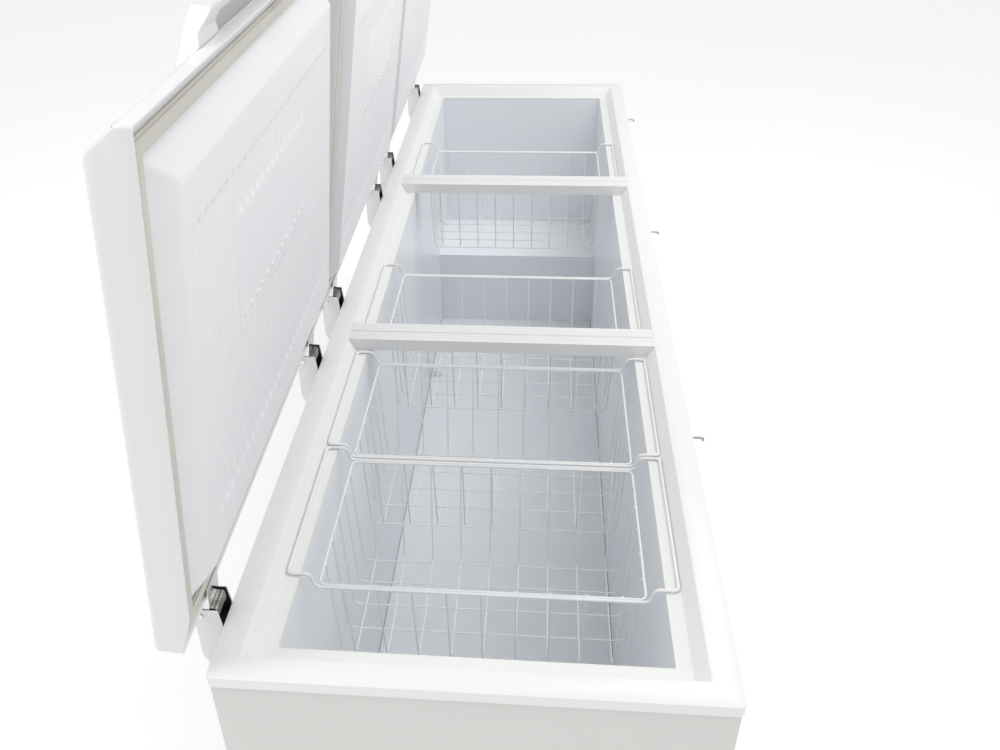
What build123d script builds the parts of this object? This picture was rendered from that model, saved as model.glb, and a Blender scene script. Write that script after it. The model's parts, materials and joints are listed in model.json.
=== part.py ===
"""Chest freezer with three hinged lids, lift-out wire baskets and an end compressor compartment."""

import os

from build123d import *

# Frame: millimetres, +Z up, the front faces -Y, the compressor end is +X, the floor is Z = 0.

# Cabinet
LENGTH = 2600.0
DEPTH = 700.0
TOP = 888.0  # height of the top frame's flat, where the gaskets rest
BOTTOM = 70.0  # underside of the bottom pan
SHEET = 1.0  # outer steel panels
LIP = 4.0  # how far the top frame stands out past the panels

# Top frame section: flat, bevel down, ledge for the baskets
FLAT = 39.5
BEVEL = 16.5
DROP = 26.3
WALL = 78.0  # outside of the frame to the inside of the liner
FRAME_SKIN = 3.0
LIP_DROP = 18.4
SEAM = 0.05  # hairline between pieces of one assembly

# Inner liner
LINER = 1.2
FLOOR = 135.0
STEP_TOP = 396.0
STEP_X = 926.0  # face of the compressor step
STEP_FOAM = 72.8
STEP_SLAB = 60.8

# Dividers between the three openings: centre and width
DIVIDERS = {"divider_near": (-413.8, 64.5), "divider_far": (409.0, 68.0)}
DIVIDER_SKIN = 3.0

# Hinges
PIVOT_Y = 381.5
PIVOT_Z = TOP + 14.0
HINGE_INSET = 118.0
HINGE_WIDTH = 48.0
HINGE_REAR = 391.0
HINGE_SHEET = 1.5
HINGE_HEEL = 34.0  # radius of the housing's lower rear edge
HINGE_EAR = 14.0  # width of each fixing ear beside the housing
LEAF_HALF = 22.0
LEAF_SHEET = 2.0
LEAF_EYE = 7.0
LEAF_PLATE = (327.5, 369.5)  # y limits of the plate under the lid
LEAF_ARM = [
    (349.0, TOP + 0.3),
    (369.5, TOP + 0.3),
    (386.0, TOP + 9.0),
    (381.5, TOP + 20.9),
    (352.0, TOP + 20.0),
    (349.0, TOP + 16.0),
]
PIN_RADIUS = 3.0
PIN_CLEARANCE = 0.05

# Lids: the joints between them, and how far each stands open at rest
LID_EDGES = (-1303.5, -414.0, 409.0, 1303.5)
LID_GAP = 1.5
LID_OPEN = (84.2, 81.5, 81.5)
LID_FRONT = -353.5
LID_REAR = 347.0
LID_HEIGHT = 42.0
LID_SLANT = 34.0  # depth of the slanted front face
LID_NOSE = 6.0  # top of the vertical front face, above the flat
LID_SKIRT = 10.0  # how far the lip hangs below the flat
LID_SKIN = 1.2
LID_RIM = 2.5  # underside of the rear and inner rims
FLANGE = 9.0  # underside of the lid liner's flange, above the flat
PLUG = 19.0  # how far the lid liner reaches below the flat
PLUG_SKIN = 1.5
GASKET_WIDTH = 25.0

# Handles and locks
HANDLE_HALF = 200.0
PAD = 75.0
HANDLE_SPLIT = -377.0  # joint between the cover and the grip
SADDLE = [(-353.7, TOP + 6.2), (-329.3, TOP + 32.1)]  # lies on the lid's slanted front
CREST = (-333.0, TOP + 36.0)
BROW = (-385.0, TOP + 27.0)
GRIP_FACE = [(-391.5, TOP + 20.0), (-391.5, TOP), (-386.0, TOP)]
COVER_UNDERSIDE = [(-377.0, TOP + 22.0), (-338.8, TOP + 22.0)]
LOCK_OFFSET = 140.0
LOCK_Y = -366.0
LOCK_RADIUS = 8.0
KEEPER_OFFSET = 155.0

# Baskets: near edge of each rim
BASKET_EDGES = (-1084.0, -767.5, -375.0, 453.0)
BASKET_LENGTH = 307.5
BASKET_HALF = 252.0
BASKET_RIM = TOP - 50.0
BASKET_FLOOR = TOP - 250.0
BASKET_END_TAPER = 40.0
BASKET_SIDE_TAPER = 12.0
HANGER_Y = 291.0
HANGER_WIRE = 2.75
THIN_WIRE = 1.4
LEDGE_GAP = 0.3

# Compressor compartment
BAY_X = STEP_X + LINER + STEP_FOAM
BAY_TOP = STEP_TOP - LINER - STEP_SLAB
COMPRESSOR = (1150.0, 170.0)
FAN_CENTRE = (1150.0, 195.0)
FAN_RADIUS = 92.0
CONTROL = (1150.0, 285.0)

# Drain
DRAIN = (555.0, 250.0)
DRAIN_BORE = 9.0
DRAIN_TUBE = 11.0

HALF_X = LENGTH / 2
HALF_Y = DEPTH / 2
PANEL_X = HALF_X - LIP
PANEL_Y = HALF_Y - LIP
FOAM_X = PANEL_X - SHEET
FOAM_Y = PANEL_Y - SHEET
LINER_X = HALF_X - WALL + LINER
LINER_Y = HALF_Y - WALL + LINER
LEDGE = TOP - DROP
FOAM_TOP = LEDGE - FRAME_SKIN

os.makedirs("parts", exist_ok=True)


def write(builder, name):
    """Label a finished piece and write it as a STEP file."""
    builder.part.label = name
    export_step(builder.part, f"parts/{name}.step")


def block(low, high, mode=Mode.ADD):
    """A box from its lowest to its highest corner."""
    centre = [(a + b) / 2 for a, b in zip(low, high)]
    with Locations(Location(tuple(centre))):
        Box(*[b - a for a, b in zip(low, high)], mode=mode)


def rod(start, end, radius, mode=Mode.ADD):
    """A round bar from one point to another."""
    run = Vector(*end) - Vector(*start)
    with BuildSketch(Plane(origin=start, z_dir=run)) as section:
        Circle(radius)
    extrude(section.sketch, amount=run.length, mode=mode)


def prism_x(points, x_low, x_high, mode=Mode.ADD):
    """A prism along X with its outline given as (y, z) points."""
    with BuildSketch(Plane.YZ.offset(x_low)) as section:
        with BuildLine():
            Polyline(*points, close=True)
        make_face()
    extrude(section.sketch, amount=x_high - x_low, mode=mode)


def bent_tube(points, radius, bend):
    """A round tube along straight runs joined by tangent bends."""
    with BuildLine():
        route = FilletPolyline(*points, radius=bend)
    with BuildSketch(Plane(origin=route @ 0, z_dir=route % 0)) as section:
        Circle(radius)
    sweep(section.sketch, path=route)


def opened(piece, angle):
    """Turn a piece modelled on a closed lid about the hinge line, to the open pose."""
    return piece.rotate(Axis((0, PIVOT_Y, PIVOT_Z), (-1, 0, 0)), angle)


def write_lid_piece(builder, name, angle):
    """Write a piece of a lid in the open pose."""
    piece = opened(builder.part, angle)
    piece.label = name
    export_step(piece, f"parts/{name}.step")


# ---------------------------------------------------------------- outer panels

VENT = (1030.0, 1270.0, 95.0, 225.0)  # x and z limits of the grille's opening
VENT_BORDER = 8.0
KNOB_HOLE = 6.0
KEEPER_X = [
    (LID_EDGES[i] + LID_EDGES[i + 1]) / 2 + KEEPER_OFFSET for i in range(len(LID_OPEN))
]
KEEPER_Z = TOP - 30.0
KEEPER_WIRE = 2.5

with BuildPart() as front_panel:
    block((-PANEL_X, -PANEL_Y, BOTTOM), (PANEL_X, -FOAM_Y, TOP - FRAME_SKIN))
    block((VENT[0], -PANEL_Y - 1, VENT[2]), (VENT[1], -FOAM_Y + 1, VENT[3]), Mode.SUBTRACT)
    rod(
        (CONTROL[0], -PANEL_Y - 1, CONTROL[1]),
        (CONTROL[0], -FOAM_Y + 1, CONTROL[1]),
        KNOB_HOLE,
        Mode.SUBTRACT,
    )
write(front_panel, "front_panel")

GLAND = (1215.0, 125.0)
GLAND_HOLE = 8.2

with BuildPart() as rear_panel:
    block((-PANEL_X, FOAM_Y, BOTTOM), (PANEL_X, PANEL_Y, TOP - FRAME_SKIN))
    rod((GLAND[0], FOAM_Y - 1, GLAND[1]), (GLAND[0], PANEL_Y + 1, GLAND[1]), GLAND_HOLE, Mode.SUBTRACT)
write(rear_panel, "rear_panel")

with BuildPart() as near_end_panel:
    block((-PANEL_X, -FOAM_Y, BOTTOM), (-FOAM_X, FOAM_Y, TOP - FRAME_SKIN))
write(near_end_panel, "near_end_panel")

LOUVRE_ROWS = 11
LOUVRE_PITCH = 16.0
LOUVRE_SLOT = (190.0, 7.0)
LOUVRE_CENTRES = (-165.0, 165.0)

with BuildPart() as far_end_panel:
    block((FOAM_X, -FOAM_Y, BOTTOM), (PANEL_X, FOAM_Y, TOP - FRAME_SKIN))
    for louvre_y in LOUVRE_CENTRES:
        with BuildSketch(Plane.YZ.offset(FOAM_X - 1)):
            with Locations((louvre_y, FAN_CENTRE[1])):
                with GridLocations(0, LOUVRE_PITCH, 1, LOUVRE_ROWS):
                    SlotOverall(*LOUVRE_SLOT)
        extrude(amount=SHEET + 2, mode=Mode.SUBTRACT)
write(far_end_panel, "far_end_panel")

with BuildPart() as bottom_pan:
    block((-FOAM_X + SEAM, -FOAM_Y + SEAM, BOTTOM), (FOAM_X - SEAM, FOAM_Y - SEAM, BOTTOM + SHEET))
    rod((*DRAIN, BOTTOM - 1), (*DRAIN, BOTTOM + SHEET + 1), DRAIN_TUBE + SEAM, Mode.SUBTRACT)
write(bottom_pan, "bottom_pan")

# ---------------------------------------------------------------- foam body

FOAM_LOW = BOTTOM + SHEET + SEAM
EVAPORATOR_POCKET = 9.0
EVAPORATOR_X = (-1150.0, 860.0)
EVAPORATOR_Z = (230.0, 640.0)
EVAPORATOR_MARGIN = 14.0

with BuildPart() as wall_foam:
    block((-FOAM_X + SEAM, -FOAM_Y + SEAM, FOAM_LOW), (-LINER_X - SEAM, FOAM_Y - SEAM, FOAM_TOP - SEAM))
    block(
        (-LINER_X + SEAM, -FOAM_Y + SEAM, FOAM_LOW),
        (STEP_X + LINER - SEAM, FOAM_Y - SEAM, FLOOR - LINER - SEAM),
    )
    rod((*DRAIN, BOTTOM), (*DRAIN, FLOOR), DRAIN_TUBE + SEAM, Mode.SUBTRACT)
    block((STEP_X + LINER + SEAM, -FOAM_Y + SEAM, FOAM_LOW), (BAY_X, FOAM_Y - SEAM, STEP_TOP - LINER - SEAM))
    block((BAY_X + SEAM, -FOAM_Y + SEAM, BAY_TOP), (FOAM_X - SEAM, FOAM_Y - SEAM, STEP_TOP - LINER - SEAM))
    block(
        (LINER_X + SEAM, -FOAM_Y + SEAM, STEP_TOP - LINER + SEAM),
        (FOAM_X - SEAM, FOAM_Y - SEAM, FOAM_TOP - SEAM),
    )
    for side in (-1, 1):
        outer, inner = side * (FOAM_Y - SEAM), side * (LINER_Y + SEAM)
        low_y, high_y = min(outer, inner), max(outer, inner)
        block(
            (-LINER_X + SEAM, low_y, FLOOR - LINER + SEAM),
            (STEP_X + LINER - SEAM, high_y, FOAM_TOP - SEAM),
        )
        block(
            (STEP_X + LINER + SEAM, low_y, STEP_TOP - LINER + SEAM),
            (LINER_X - SEAM, high_y, FOAM_TOP - SEAM),
        )
        pocket = inner + side * EVAPORATOR_POCKET
        block(
            (EVAPORATOR_X[0] - 60, min(inner, pocket), EVAPORATOR_Z[0] - EVAPORATOR_MARGIN),
            (EVAPORATOR_X[1] + 60, max(inner, pocket), EVAPORATOR_Z[1] + EVAPORATOR_MARGIN),
            Mode.SUBTRACT,
        )

# ---------------------------------------------------------------- top frame

BEVEL_RUN = (BEVEL**2 + DROP**2) ** 0.5
SKIN_SHIFT = FRAME_SKIN * BEVEL_RUN / DROP  # the bevel's skin, measured level
UNDER_FLAT = FLAT + FRAME_SKIN * BEVEL / DROP - SKIN_SHIFT
UNDER_LEDGE = FLAT + BEVEL + FRAME_SKIN * BEVEL / DROP - SKIN_SHIFT
FRAME_INNER = WALL - 0.4


def rim_outline(across, edge):
    """The top frame's section as points, from the outer face at edge towards the inside."""
    section = (
        (0, 0),
        (FLAT, 0),
        (FLAT + BEVEL, -DROP),
        (FRAME_INNER, -DROP),
        (FRAME_INNER, -DROP - FRAME_SKIN),
        (UNDER_LEDGE, -DROP - FRAME_SKIN),
        (UNDER_FLAT, -FRAME_SKIN),
        (FRAME_SKIN, -FRAME_SKIN),
        (FRAME_SKIN, -LIP_DROP),
        (0, -LIP_DROP),
    )
    return [(edge + across * d, TOP + z) for d, z in section]


def mitre_cut(corner_x, corner_y, normal):
    """Cut the rail being built on the diagonal through a corner of the frame."""
    length = (normal[0] ** 2 + normal[1] ** 2) ** 0.5
    shift = [SEAM / 2 * n / length for n in normal]
    cut = Plane(origin=(corner_x + shift[0], corner_y + shift[1], TOP), z_dir=(*normal, 0))
    split(bisect_by=cut, keep=Keep.TOP)


with BuildPart() as front_rail:
    prism_x(rim_outline(1, -HALF_Y), -HALF_X, HALF_X)
    mitre_cut(-HALF_X, -HALF_Y, (1, -1))
    mitre_cut(HALF_X, -HALF_Y, (-1, -1))

with BuildPart() as near_rail:
    with BuildSketch(Plane.XZ.offset(-HALF_Y)):
        with BuildLine():
            Polyline(*rim_outline(1, -HALF_X), close=True)
        make_face()
    extrude(amount=DEPTH)
    mitre_cut(-HALF_X, -HALF_Y, (-1, 1))
    mitre_cut(-HALF_X, HALF_Y, (-1, -1))

with BuildPart() as top_frame:
    add(front_rail.part)
    add(near_rail.part)
    add(front_rail.part.mirror(Plane.XZ))
    add(near_rail.part.mirror(Plane.YZ))
write(top_frame, "top_frame")

# ---------------------------------------------------------------- foam under the frame

FOAM_EDGE = LIP + SHEET + SEAM
FOAM_SECTION = (
    (FOAM_EDGE, -FRAME_SKIN - SEAM),
    (UNDER_FLAT - SEAM, -FRAME_SKIN - SEAM),
    (UNDER_LEDGE - SEAM, -DROP - FRAME_SKIN + SEAM),
    (FOAM_EDGE, -DROP - FRAME_SKIN + SEAM),
)

with BuildPart() as frame_foam:
    for side in (-1, 1):
        reach = HALF_X - UNDER_LEDGE - SEAM
        prism_x([(side * (HALF_Y - d), TOP + z) for d, z in FOAM_SECTION], -reach, reach)
        with BuildSketch(Plane.XZ.offset(-FOAM_Y + SEAM)):
            with BuildLine():
                Polyline(*[(side * (HALF_X - d), TOP + z) for d, z in FOAM_SECTION], close=True)
            make_face()
        extrude(amount=2 * (FOAM_Y - SEAM))

with BuildPart() as foam:
    add(wall_foam.part)
    add(frame_foam.part)
write(foam, "cabinet_foam")

# ---------------------------------------------------------------- inner liner

LINER_TOP = FOAM_TOP


def liner_outline(inset):
    """The cavity's side outline in X and Z, with the step, drawn in by inset from the liner's outside."""
    high = LINER_TOP + (1 if inset else 0)
    return [
        (-LINER_X + inset, high),
        (-LINER_X + inset, FLOOR - LINER + inset),
        (STEP_X + LINER - inset, FLOOR - LINER + inset),
        (STEP_X + LINER - inset, STEP_TOP - LINER + inset),
        (LINER_X - inset, STEP_TOP - LINER + inset),
        (LINER_X - inset, high),
    ]


with BuildPart() as inner_liner:
    for inset, mode in ((0.0, Mode.ADD), (LINER, Mode.SUBTRACT)):
        half = LINER_Y - inset
        with BuildSketch(Plane.XZ.offset(-half)):
            with BuildLine():
                Polyline(*liner_outline(inset), close=True)
            make_face()
        extrude(amount=2 * half, mode=mode)
    rod((*DRAIN, FLOOR - LINER - 1), (*DRAIN, FLOOR + 1), DRAIN_BORE, Mode.SUBTRACT)
write(inner_liner, "inner_liner")

# ---------------------------------------------------------------- dividers

GROOVES = 8
GROOVE = (1.0, 0.7)
MIDDLE_GROOVE = (2.4, 1.2)

for divider_name, (centre, width) in DIVIDERS.items():
    with BuildPart() as divider:
        half_top = HALF_Y - FLAT - SEAM
        half_low = HALF_Y - FLAT - BEVEL - SEAM
        outline = [(-half_top, TOP), (half_top, TOP), (half_low, LEDGE + SEAM), (-half_low, LEDGE + SEAM)]
        prism_x(outline, centre - width / 2, centre + width / 2)
        block(
            (centre - width / 2 + DIVIDER_SKIN, -half_low + 4, LEDGE - 1),
            (centre + width / 2 - DIVIDER_SKIN, half_low - 4, TOP - DIVIDER_SKIN),
            Mode.SUBTRACT,
        )
        pitch = width / (GROOVES + 1)
        for i in range(GROOVES):
            at = centre + (i - (GROOVES - 1) / 2) * pitch
            block(
                (at - GROOVE[0] / 2, -DEPTH, TOP - GROOVE[1]),
                (at + GROOVE[0] / 2, DEPTH, TOP + 1),
                Mode.SUBTRACT,
            )
        block(
            (centre - MIDDLE_GROOVE[0] / 2, -DEPTH, TOP - MIDDLE_GROOVE[1]),
            (centre + MIDDLE_GROOVE[0] / 2, DEPTH, TOP + 1),
            Mode.SUBTRACT,
        )
    write(divider, divider_name)

# ---------------------------------------------------------------- feet

FOOT_X = (-1180.0, 0.0, 1180.0)
FOOT_Y = 270.0
PAD_HEIGHT = 5.0
FOOT_PLACES = [(x, y) for x in FOOT_X for y in (-FOOT_Y, FOOT_Y)]

with BuildPart() as feet:
    for place in FOOT_PLACES:
        with BuildSketch(Plane(origin=(*place, 0), x_dir=(1, 0, 0), z_dir=(0, -1, 0))):
            with BuildLine():
                Polyline(
                    (0, PAD_HEIGHT),
                    (27, PAD_HEIGHT),
                    (27, 14),
                    (17, 22),
                    (15, 60),
                    (32, 64),
                    (32, BOTTOM - SEAM),
                    (0, BOTTOM - SEAM),
                    close=True,
                )
            make_face()
        revolve(axis=Axis((*place, 0), (0, 0, 1)))
write(feet, "feet")

with BuildPart() as foot_pads:
    for place in FOOT_PLACES:
        with BuildSketch(Plane.XY):
            with Locations(place):
                Circle(28)
        extrude(amount=PAD_HEIGHT)
    fillet(foot_pads.edges().group_by(Axis.Z)[0], 1.5)
write(foot_pads, "foot_pads")

# ---------------------------------------------------------------- drain

SPOUT_LOW = 28.0

with BuildPart() as drain_spout:
    rod((*DRAIN, SPOUT_LOW), (*DRAIN, FLOOR - LINER), DRAIN_TUBE)
    rod((*DRAIN, BOTTOM - 6), (*DRAIN, BOTTOM - SEAM), 24)
    rod((*DRAIN, SPOUT_LOW - 1), (*DRAIN, FLOOR), DRAIN_BORE, Mode.SUBTRACT)
write(drain_spout, "drain_spout")

with BuildPart() as drain_plug:
    rod((*DRAIN, FLOOR + LEDGE_GAP), (*DRAIN, FLOOR + 5), 15)
    rod((*DRAIN, FLOOR - 16), (*DRAIN, FLOOR + 1), DRAIN_BORE - LEDGE_GAP)
    rod((*DRAIN, FLOOR + 4), (*DRAIN, FLOOR + 15), 4)
    rod((DRAIN[0] - 11, DRAIN[1], FLOOR + 15), (DRAIN[0] + 11, DRAIN[1], FLOOR + 15), 3)
write(drain_plug, "drain_plug")

# ---------------------------------------------------------------- evaporator

PASSES = 8
PASS_PITCH = (EVAPORATOR_Z[1] - EVAPORATOR_Z[0]) / (PASSES - 1)
EVAPORATOR_RADIUS = 4.0

with BuildPart() as evaporator_tube:
    for side in (-1, 1):
        at_y = side * (LINER_Y + EVAPORATOR_RADIUS + 0.3)
        route = []
        for i in range(PASSES):
            level = EVAPORATOR_Z[0] + i * PASS_PITCH
            ends = EVAPORATOR_X if i % 2 else EVAPORATOR_X[::-1]
            route += [(ends[0], at_y, level), (ends[1], at_y, level)]
        bent_tube(route, EVAPORATOR_RADIUS, PASS_PITCH / 2 - 0.5)
write(evaporator_tube, "evaporator_tube")

# ---------------------------------------------------------------- compressor compartment

BAY_FLOOR = BOTTOM + SHEET
MOUNT_SPREAD = (82.0, 62.0)
MOUNT_HEIGHT = 16.0
COMPRESSOR_BASE = BAY_FLOOR + MOUNT_HEIGHT
CAN_RADIUS = 78.0
CAN_HEIGHT = 168.0

with BuildPart() as compressor_mounts:
    with BuildSketch(Plane.XY.offset(BAY_FLOOR + SEAM)):
        with Locations(COMPRESSOR):
            with GridLocations(2 * MOUNT_SPREAD[0], 2 * MOUNT_SPREAD[1], 2, 2):
                Circle(13)
    extrude(amount=MOUNT_HEIGHT - 2 * SEAM)
write(compressor_mounts, "compressor_mounts")

with BuildPart() as compressor:
    with BuildSketch(Plane.XY.offset(COMPRESSOR_BASE)):
        with Locations(COMPRESSOR):
            RectangleRounded(2 * MOUNT_SPREAD[0] + 30, 2 * MOUNT_SPREAD[1] + 30, 14)
    extrude(amount=3)
    rod((*COMPRESSOR, COMPRESSOR_BASE + 2), (*COMPRESSOR, COMPRESSOR_BASE + CAN_HEIGHT), CAN_RADIUS)
    crown = compressor.edges().filter_by(GeomType.CIRCLE).sort_by(Axis.Z)[-1]
    fillet(crown, 38)
    rod(
        (COMPRESSOR[0] - 40, COMPRESSOR[1], COMPRESSOR_BASE + 60),
        (COMPRESSOR[0] - CAN_RADIUS - 22, COMPRESSOR[1], COMPRESSOR_BASE + 60),
        4,
    )
write(compressor, "compressor")

with BuildPart() as terminal_cover:
    block(
        (COMPRESSOR[0] - 30, COMPRESSOR[1] + CAN_RADIUS + 1, COMPRESSOR_BASE + 50),
        (COMPRESSOR[0] + 30, COMPRESSOR[1] + CAN_RADIUS + 36, COMPRESSOR_BASE + 115),
    )
    fillet(terminal_cover.edges().filter_by(Axis.Y), 6)
write(terminal_cover, "terminal_cover")

FIN_COUNT = 28
FIN_PITCH = 7.6
FIN_SIZE = (44.0, 190.0)
COIL_Y = -286.0
COIL_ROWS = 7
COIL_PITCH = 25.0
COIL_RADIUS = 4.0

with BuildPart() as condenser_fins:
    with BuildSketch(Plane.YZ.offset(FAN_CENTRE[0])):
        with Locations((COIL_Y, FAN_CENTRE[1])):
            Rectangle(*FIN_SIZE)
            with GridLocations(0, COIL_PITCH, 1, COIL_ROWS):
                Circle(COIL_RADIUS + SEAM, mode=Mode.SUBTRACT)
    fin = extrude(amount=0.6, mode=Mode.PRIVATE)
    for i in range(FIN_COUNT):
        add(fin.moved(Location(((i - (FIN_COUNT - 1) / 2) * FIN_PITCH, 0, 0))))
write(condenser_fins, "condenser_fins")

with BuildPart() as condenser_coil:
    coil_route = []
    for i in range(COIL_ROWS):
        level = FAN_CENTRE[1] + (i - (COIL_ROWS - 1) / 2) * COIL_PITCH
        ends = (-122.0, 122.0) if i % 2 else (122.0, -122.0)
        coil_route += [(FAN_CENTRE[0] + end, COIL_Y, level) for end in ends]
    bent_tube(coil_route, COIL_RADIUS, COIL_PITCH / 2 - 0.1)
write(condenser_coil, "condenser_coil")

SHROUD_Y = -258.0
FAN_Y = -225.0

with BuildPart() as fan_shroud:
    block((1045, SHROUD_Y, 95), (1255, SHROUD_Y + 3, 300))
    rod(
        (FAN_CENTRE[0], SHROUD_Y - 1, FAN_CENTRE[1]),
        (FAN_CENTRE[0], SHROUD_Y + 4, FAN_CENTRE[1]),
        FAN_RADIUS + 5,
        Mode.SUBTRACT,
    )
    for x in (1045, 1252):
        block((x, SHROUD_Y, BAY_FLOOR + SEAM), (x + 3, SHROUD_Y + 120, 130))
    block((1045, SHROUD_Y + 90, 110), (1255, SHROUD_Y + 93, 140))
    block((1135, SHROUD_Y + 90, 110), (1165, SHROUD_Y + 93, 185))
write(fan_shroud, "fan_shroud")

MOTOR_Y = (-205.0, SHROUD_Y + 90.0)

with BuildPart() as fan_motor:
    rod((FAN_CENTRE[0], MOTOR_Y[0], FAN_CENTRE[1]), (FAN_CENTRE[0], MOTOR_Y[1] - SEAM, FAN_CENTRE[1]), 30)
    rod((FAN_CENTRE[0], FAN_Y - 12, FAN_CENTRE[1]), (FAN_CENTRE[0], MOTOR_Y[0] + 1, FAN_CENTRE[1]), 3)
write(fan_motor, "fan_motor")

BLADES = 5
HUB_RADIUS = 24.0

with BuildPart() as fan_blade:
    rod((FAN_CENTRE[0], FAN_Y - 10, FAN_CENTRE[1]), (FAN_CENTRE[0], FAN_Y + 10, FAN_CENTRE[1]), HUB_RADIUS)
    fan_axis = Axis((FAN_CENTRE[0], FAN_Y, FAN_CENTRE[1]), (0, 1, 0))
    root_plane = Plane(origin=(FAN_CENTRE[0], FAN_Y, FAN_CENTRE[1] + HUB_RADIUS - 3), x_dir=(0.88, 0.47, 0))
    with BuildSketch(root_plane):
        Rectangle(38, 2.2)
    vane = extrude(amount=FAN_RADIUS - HUB_RADIUS - 2, mode=Mode.PRIVATE)
    for i in range(BLADES):
        add(vane.rotate(fan_axis, i * 360 / BLADES))
    rod(
        (FAN_CENTRE[0], FAN_Y - 11, FAN_CENTRE[1]),
        (FAN_CENTRE[0], FAN_Y + 11, FAN_CENTRE[1]),
        3 + PIN_CLEARANCE,
        Mode.SUBTRACT,
    )
write(fan_blade, "fan_blade")

DRIER = ((1040.0, 20.0, 130.0), (1040.0, 20.0, 250.0))

with BuildPart() as filter_drier:
    rod(DRIER[0], DRIER[1], 10)
    fillet(filter_drier.edges(), 4)
    for end, reach in zip(DRIER, (-14, 14)):
        rod((end[0], end[1], end[2] - reach / 7), (end[0], end[1], end[2] + reach), 3)
write(filter_drier, "filter_drier")

with BuildPart() as refrigerant_lines:
    bent_tube(
        [
            (COMPRESSOR[0] - CAN_RADIUS - 22 - SEAM, COMPRESSOR[1], COMPRESSOR_BASE + 60),
            (1020, COMPRESSOR[1], COMPRESSOR_BASE + 60),
            (1020, -100, COMPRESSOR_BASE + 60),
            (1020, -100, 80),
            (1020, COIL_Y - 4, 80),
        ],
        3,
        18,
    )
    bent_tube(
        [
            (COMPRESSOR[0] + CAN_RADIUS + 1, COMPRESSOR[1], COMPRESSOR_BASE + 80),
            (1265, COMPRESSOR[1], COMPRESSOR_BASE + 80),
            (1265, COMPRESSOR[1], 305),
            (1265, -60, 305),
            (BAY_X + SEAM, -60, 305),
        ],
        4,
        22,
    )
write(refrigerant_lines, "refrigerant_lines")

# ---------------------------------------------------------------- front controls and vents

GRILLE_SLATS = 9
GRILLE_SLOT = (206.0, 6.0)
GRILLE_PITCH = 12.5
GRILLE_FACE = -PANEL_Y - 3.0

with BuildPart() as vent_grille:
    block(
        (VENT[0] - VENT_BORDER, GRILLE_FACE, VENT[2] - VENT_BORDER),
        (VENT[1] + VENT_BORDER, -PANEL_Y - SEAM, VENT[3] + VENT_BORDER),
    )
    block(
        (VENT[0] + 1, -PANEL_Y - 1, VENT[2] + 1),
        (VENT[1] - 1, -PANEL_Y + 6, VENT[3] - 1),
    )
    with BuildSketch(Plane.XZ.offset(PANEL_Y + 10)):
        with Locations(((VENT[0] + VENT[1]) / 2, (VENT[2] + VENT[3]) / 2)):
            with GridLocations(0, GRILLE_PITCH, 1, GRILLE_SLATS):
                SlotOverall(*GRILLE_SLOT)
    extrude(amount=-30, mode=Mode.SUBTRACT)
write(vent_grille, "vent_grille")

PANEL_SIZE = (190.0, 56.0)
LAMP_OFFSETS = (45.0, 60.0, 75.0)
LAMP_RADIUS = 4.0
CONTROL_FACE = -PANEL_Y - 5.0

with BuildPart() as control_panel:
    with BuildSketch(Plane.XZ.offset(PANEL_Y + SEAM)):
        with Locations(CONTROL):
            RectangleRounded(*PANEL_SIZE, 8)
            Circle(KNOB_HOLE, mode=Mode.SUBTRACT)
        for shift in LAMP_OFFSETS:
            with Locations((CONTROL[0] + shift, CONTROL[1])):
                Circle(LAMP_RADIUS + SEAM, mode=Mode.SUBTRACT)
    extrude(amount=5 - SEAM)
    chamfer(control_panel.faces().sort_by(Axis.Y)[0].outer_wire().edges(), 1.2)
write(control_panel, "control_panel")

with BuildPart() as indicator_lamps:
    with BuildSketch(Plane.XZ.offset(PANEL_Y + 1)):
        for shift in LAMP_OFFSETS:
            with Locations((CONTROL[0] + shift, CONTROL[1])):
                Circle(LAMP_RADIUS)
    extrude(amount=5.2)
    fillet(indicator_lamps.faces().sort_by(Axis.Y)[:3].edges(), 1.2)
write(indicator_lamps, "indicator_lamps")

SHAFT = 3.0

with BuildPart() as thermostat_body:
    block((CONTROL[0] - 22, -FOAM_Y + 1, CONTROL[1] - 20), (CONTROL[0] + 22, -FOAM_Y + 34, CONTROL[1] + 20))
    rod((CONTROL[0], -FOAM_Y + 2, CONTROL[1]), (CONTROL[0], CONTROL_FACE - 12, CONTROL[1]), SHAFT)
write(thermostat_body, "thermostat_body")

KNOB_RADIUS = 19.0

with BuildPart() as thermostat_knob:
    with BuildSketch(Plane.XZ.offset(-CONTROL_FACE + LEDGE_GAP)):
        with Locations(CONTROL):
            Circle(KNOB_RADIUS)
    extrude(amount=9)
    with BuildSketch(Plane.XZ.offset(-CONTROL_FACE + 9)):
        with Locations(CONTROL):
            RectangleRounded(9, 2 * KNOB_RADIUS - 4, 4)
    extrude(amount=8)
    fillet(thermostat_knob.faces().sort_by(Axis.Y)[0].edges(), 1.5)
    rod(
        (CONTROL[0], CONTROL_FACE, CONTROL[1]),
        (CONTROL[0], CONTROL_FACE - 12.3, CONTROL[1]),
        SHAFT + PIN_CLEARANCE,
        Mode.SUBTRACT,
    )
write(thermostat_knob, "thermostat_knob")

with BuildPart() as cable_gland:
    rod((GLAND[0], PANEL_Y + SEAM, GLAND[1]), (GLAND[0], PANEL_Y + 9, GLAND[1]), 13)
    rod((GLAND[0], FOAM_Y - 8, GLAND[1]), (GLAND[0], PANEL_Y + 1, GLAND[1]), GLAND_HOLE - SEAM)
    rod((GLAND[0], FOAM_Y - 9, GLAND[1]), (GLAND[0], PANEL_Y + 10, GLAND[1]), 4, Mode.SUBTRACT)
write(cable_gland, "cable_gland")

# ---------------------------------------------------------------- lock keepers

KEEPER_REACH = -376.0
KEEPER_TIP = KEEPER_Z - 5.9

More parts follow.
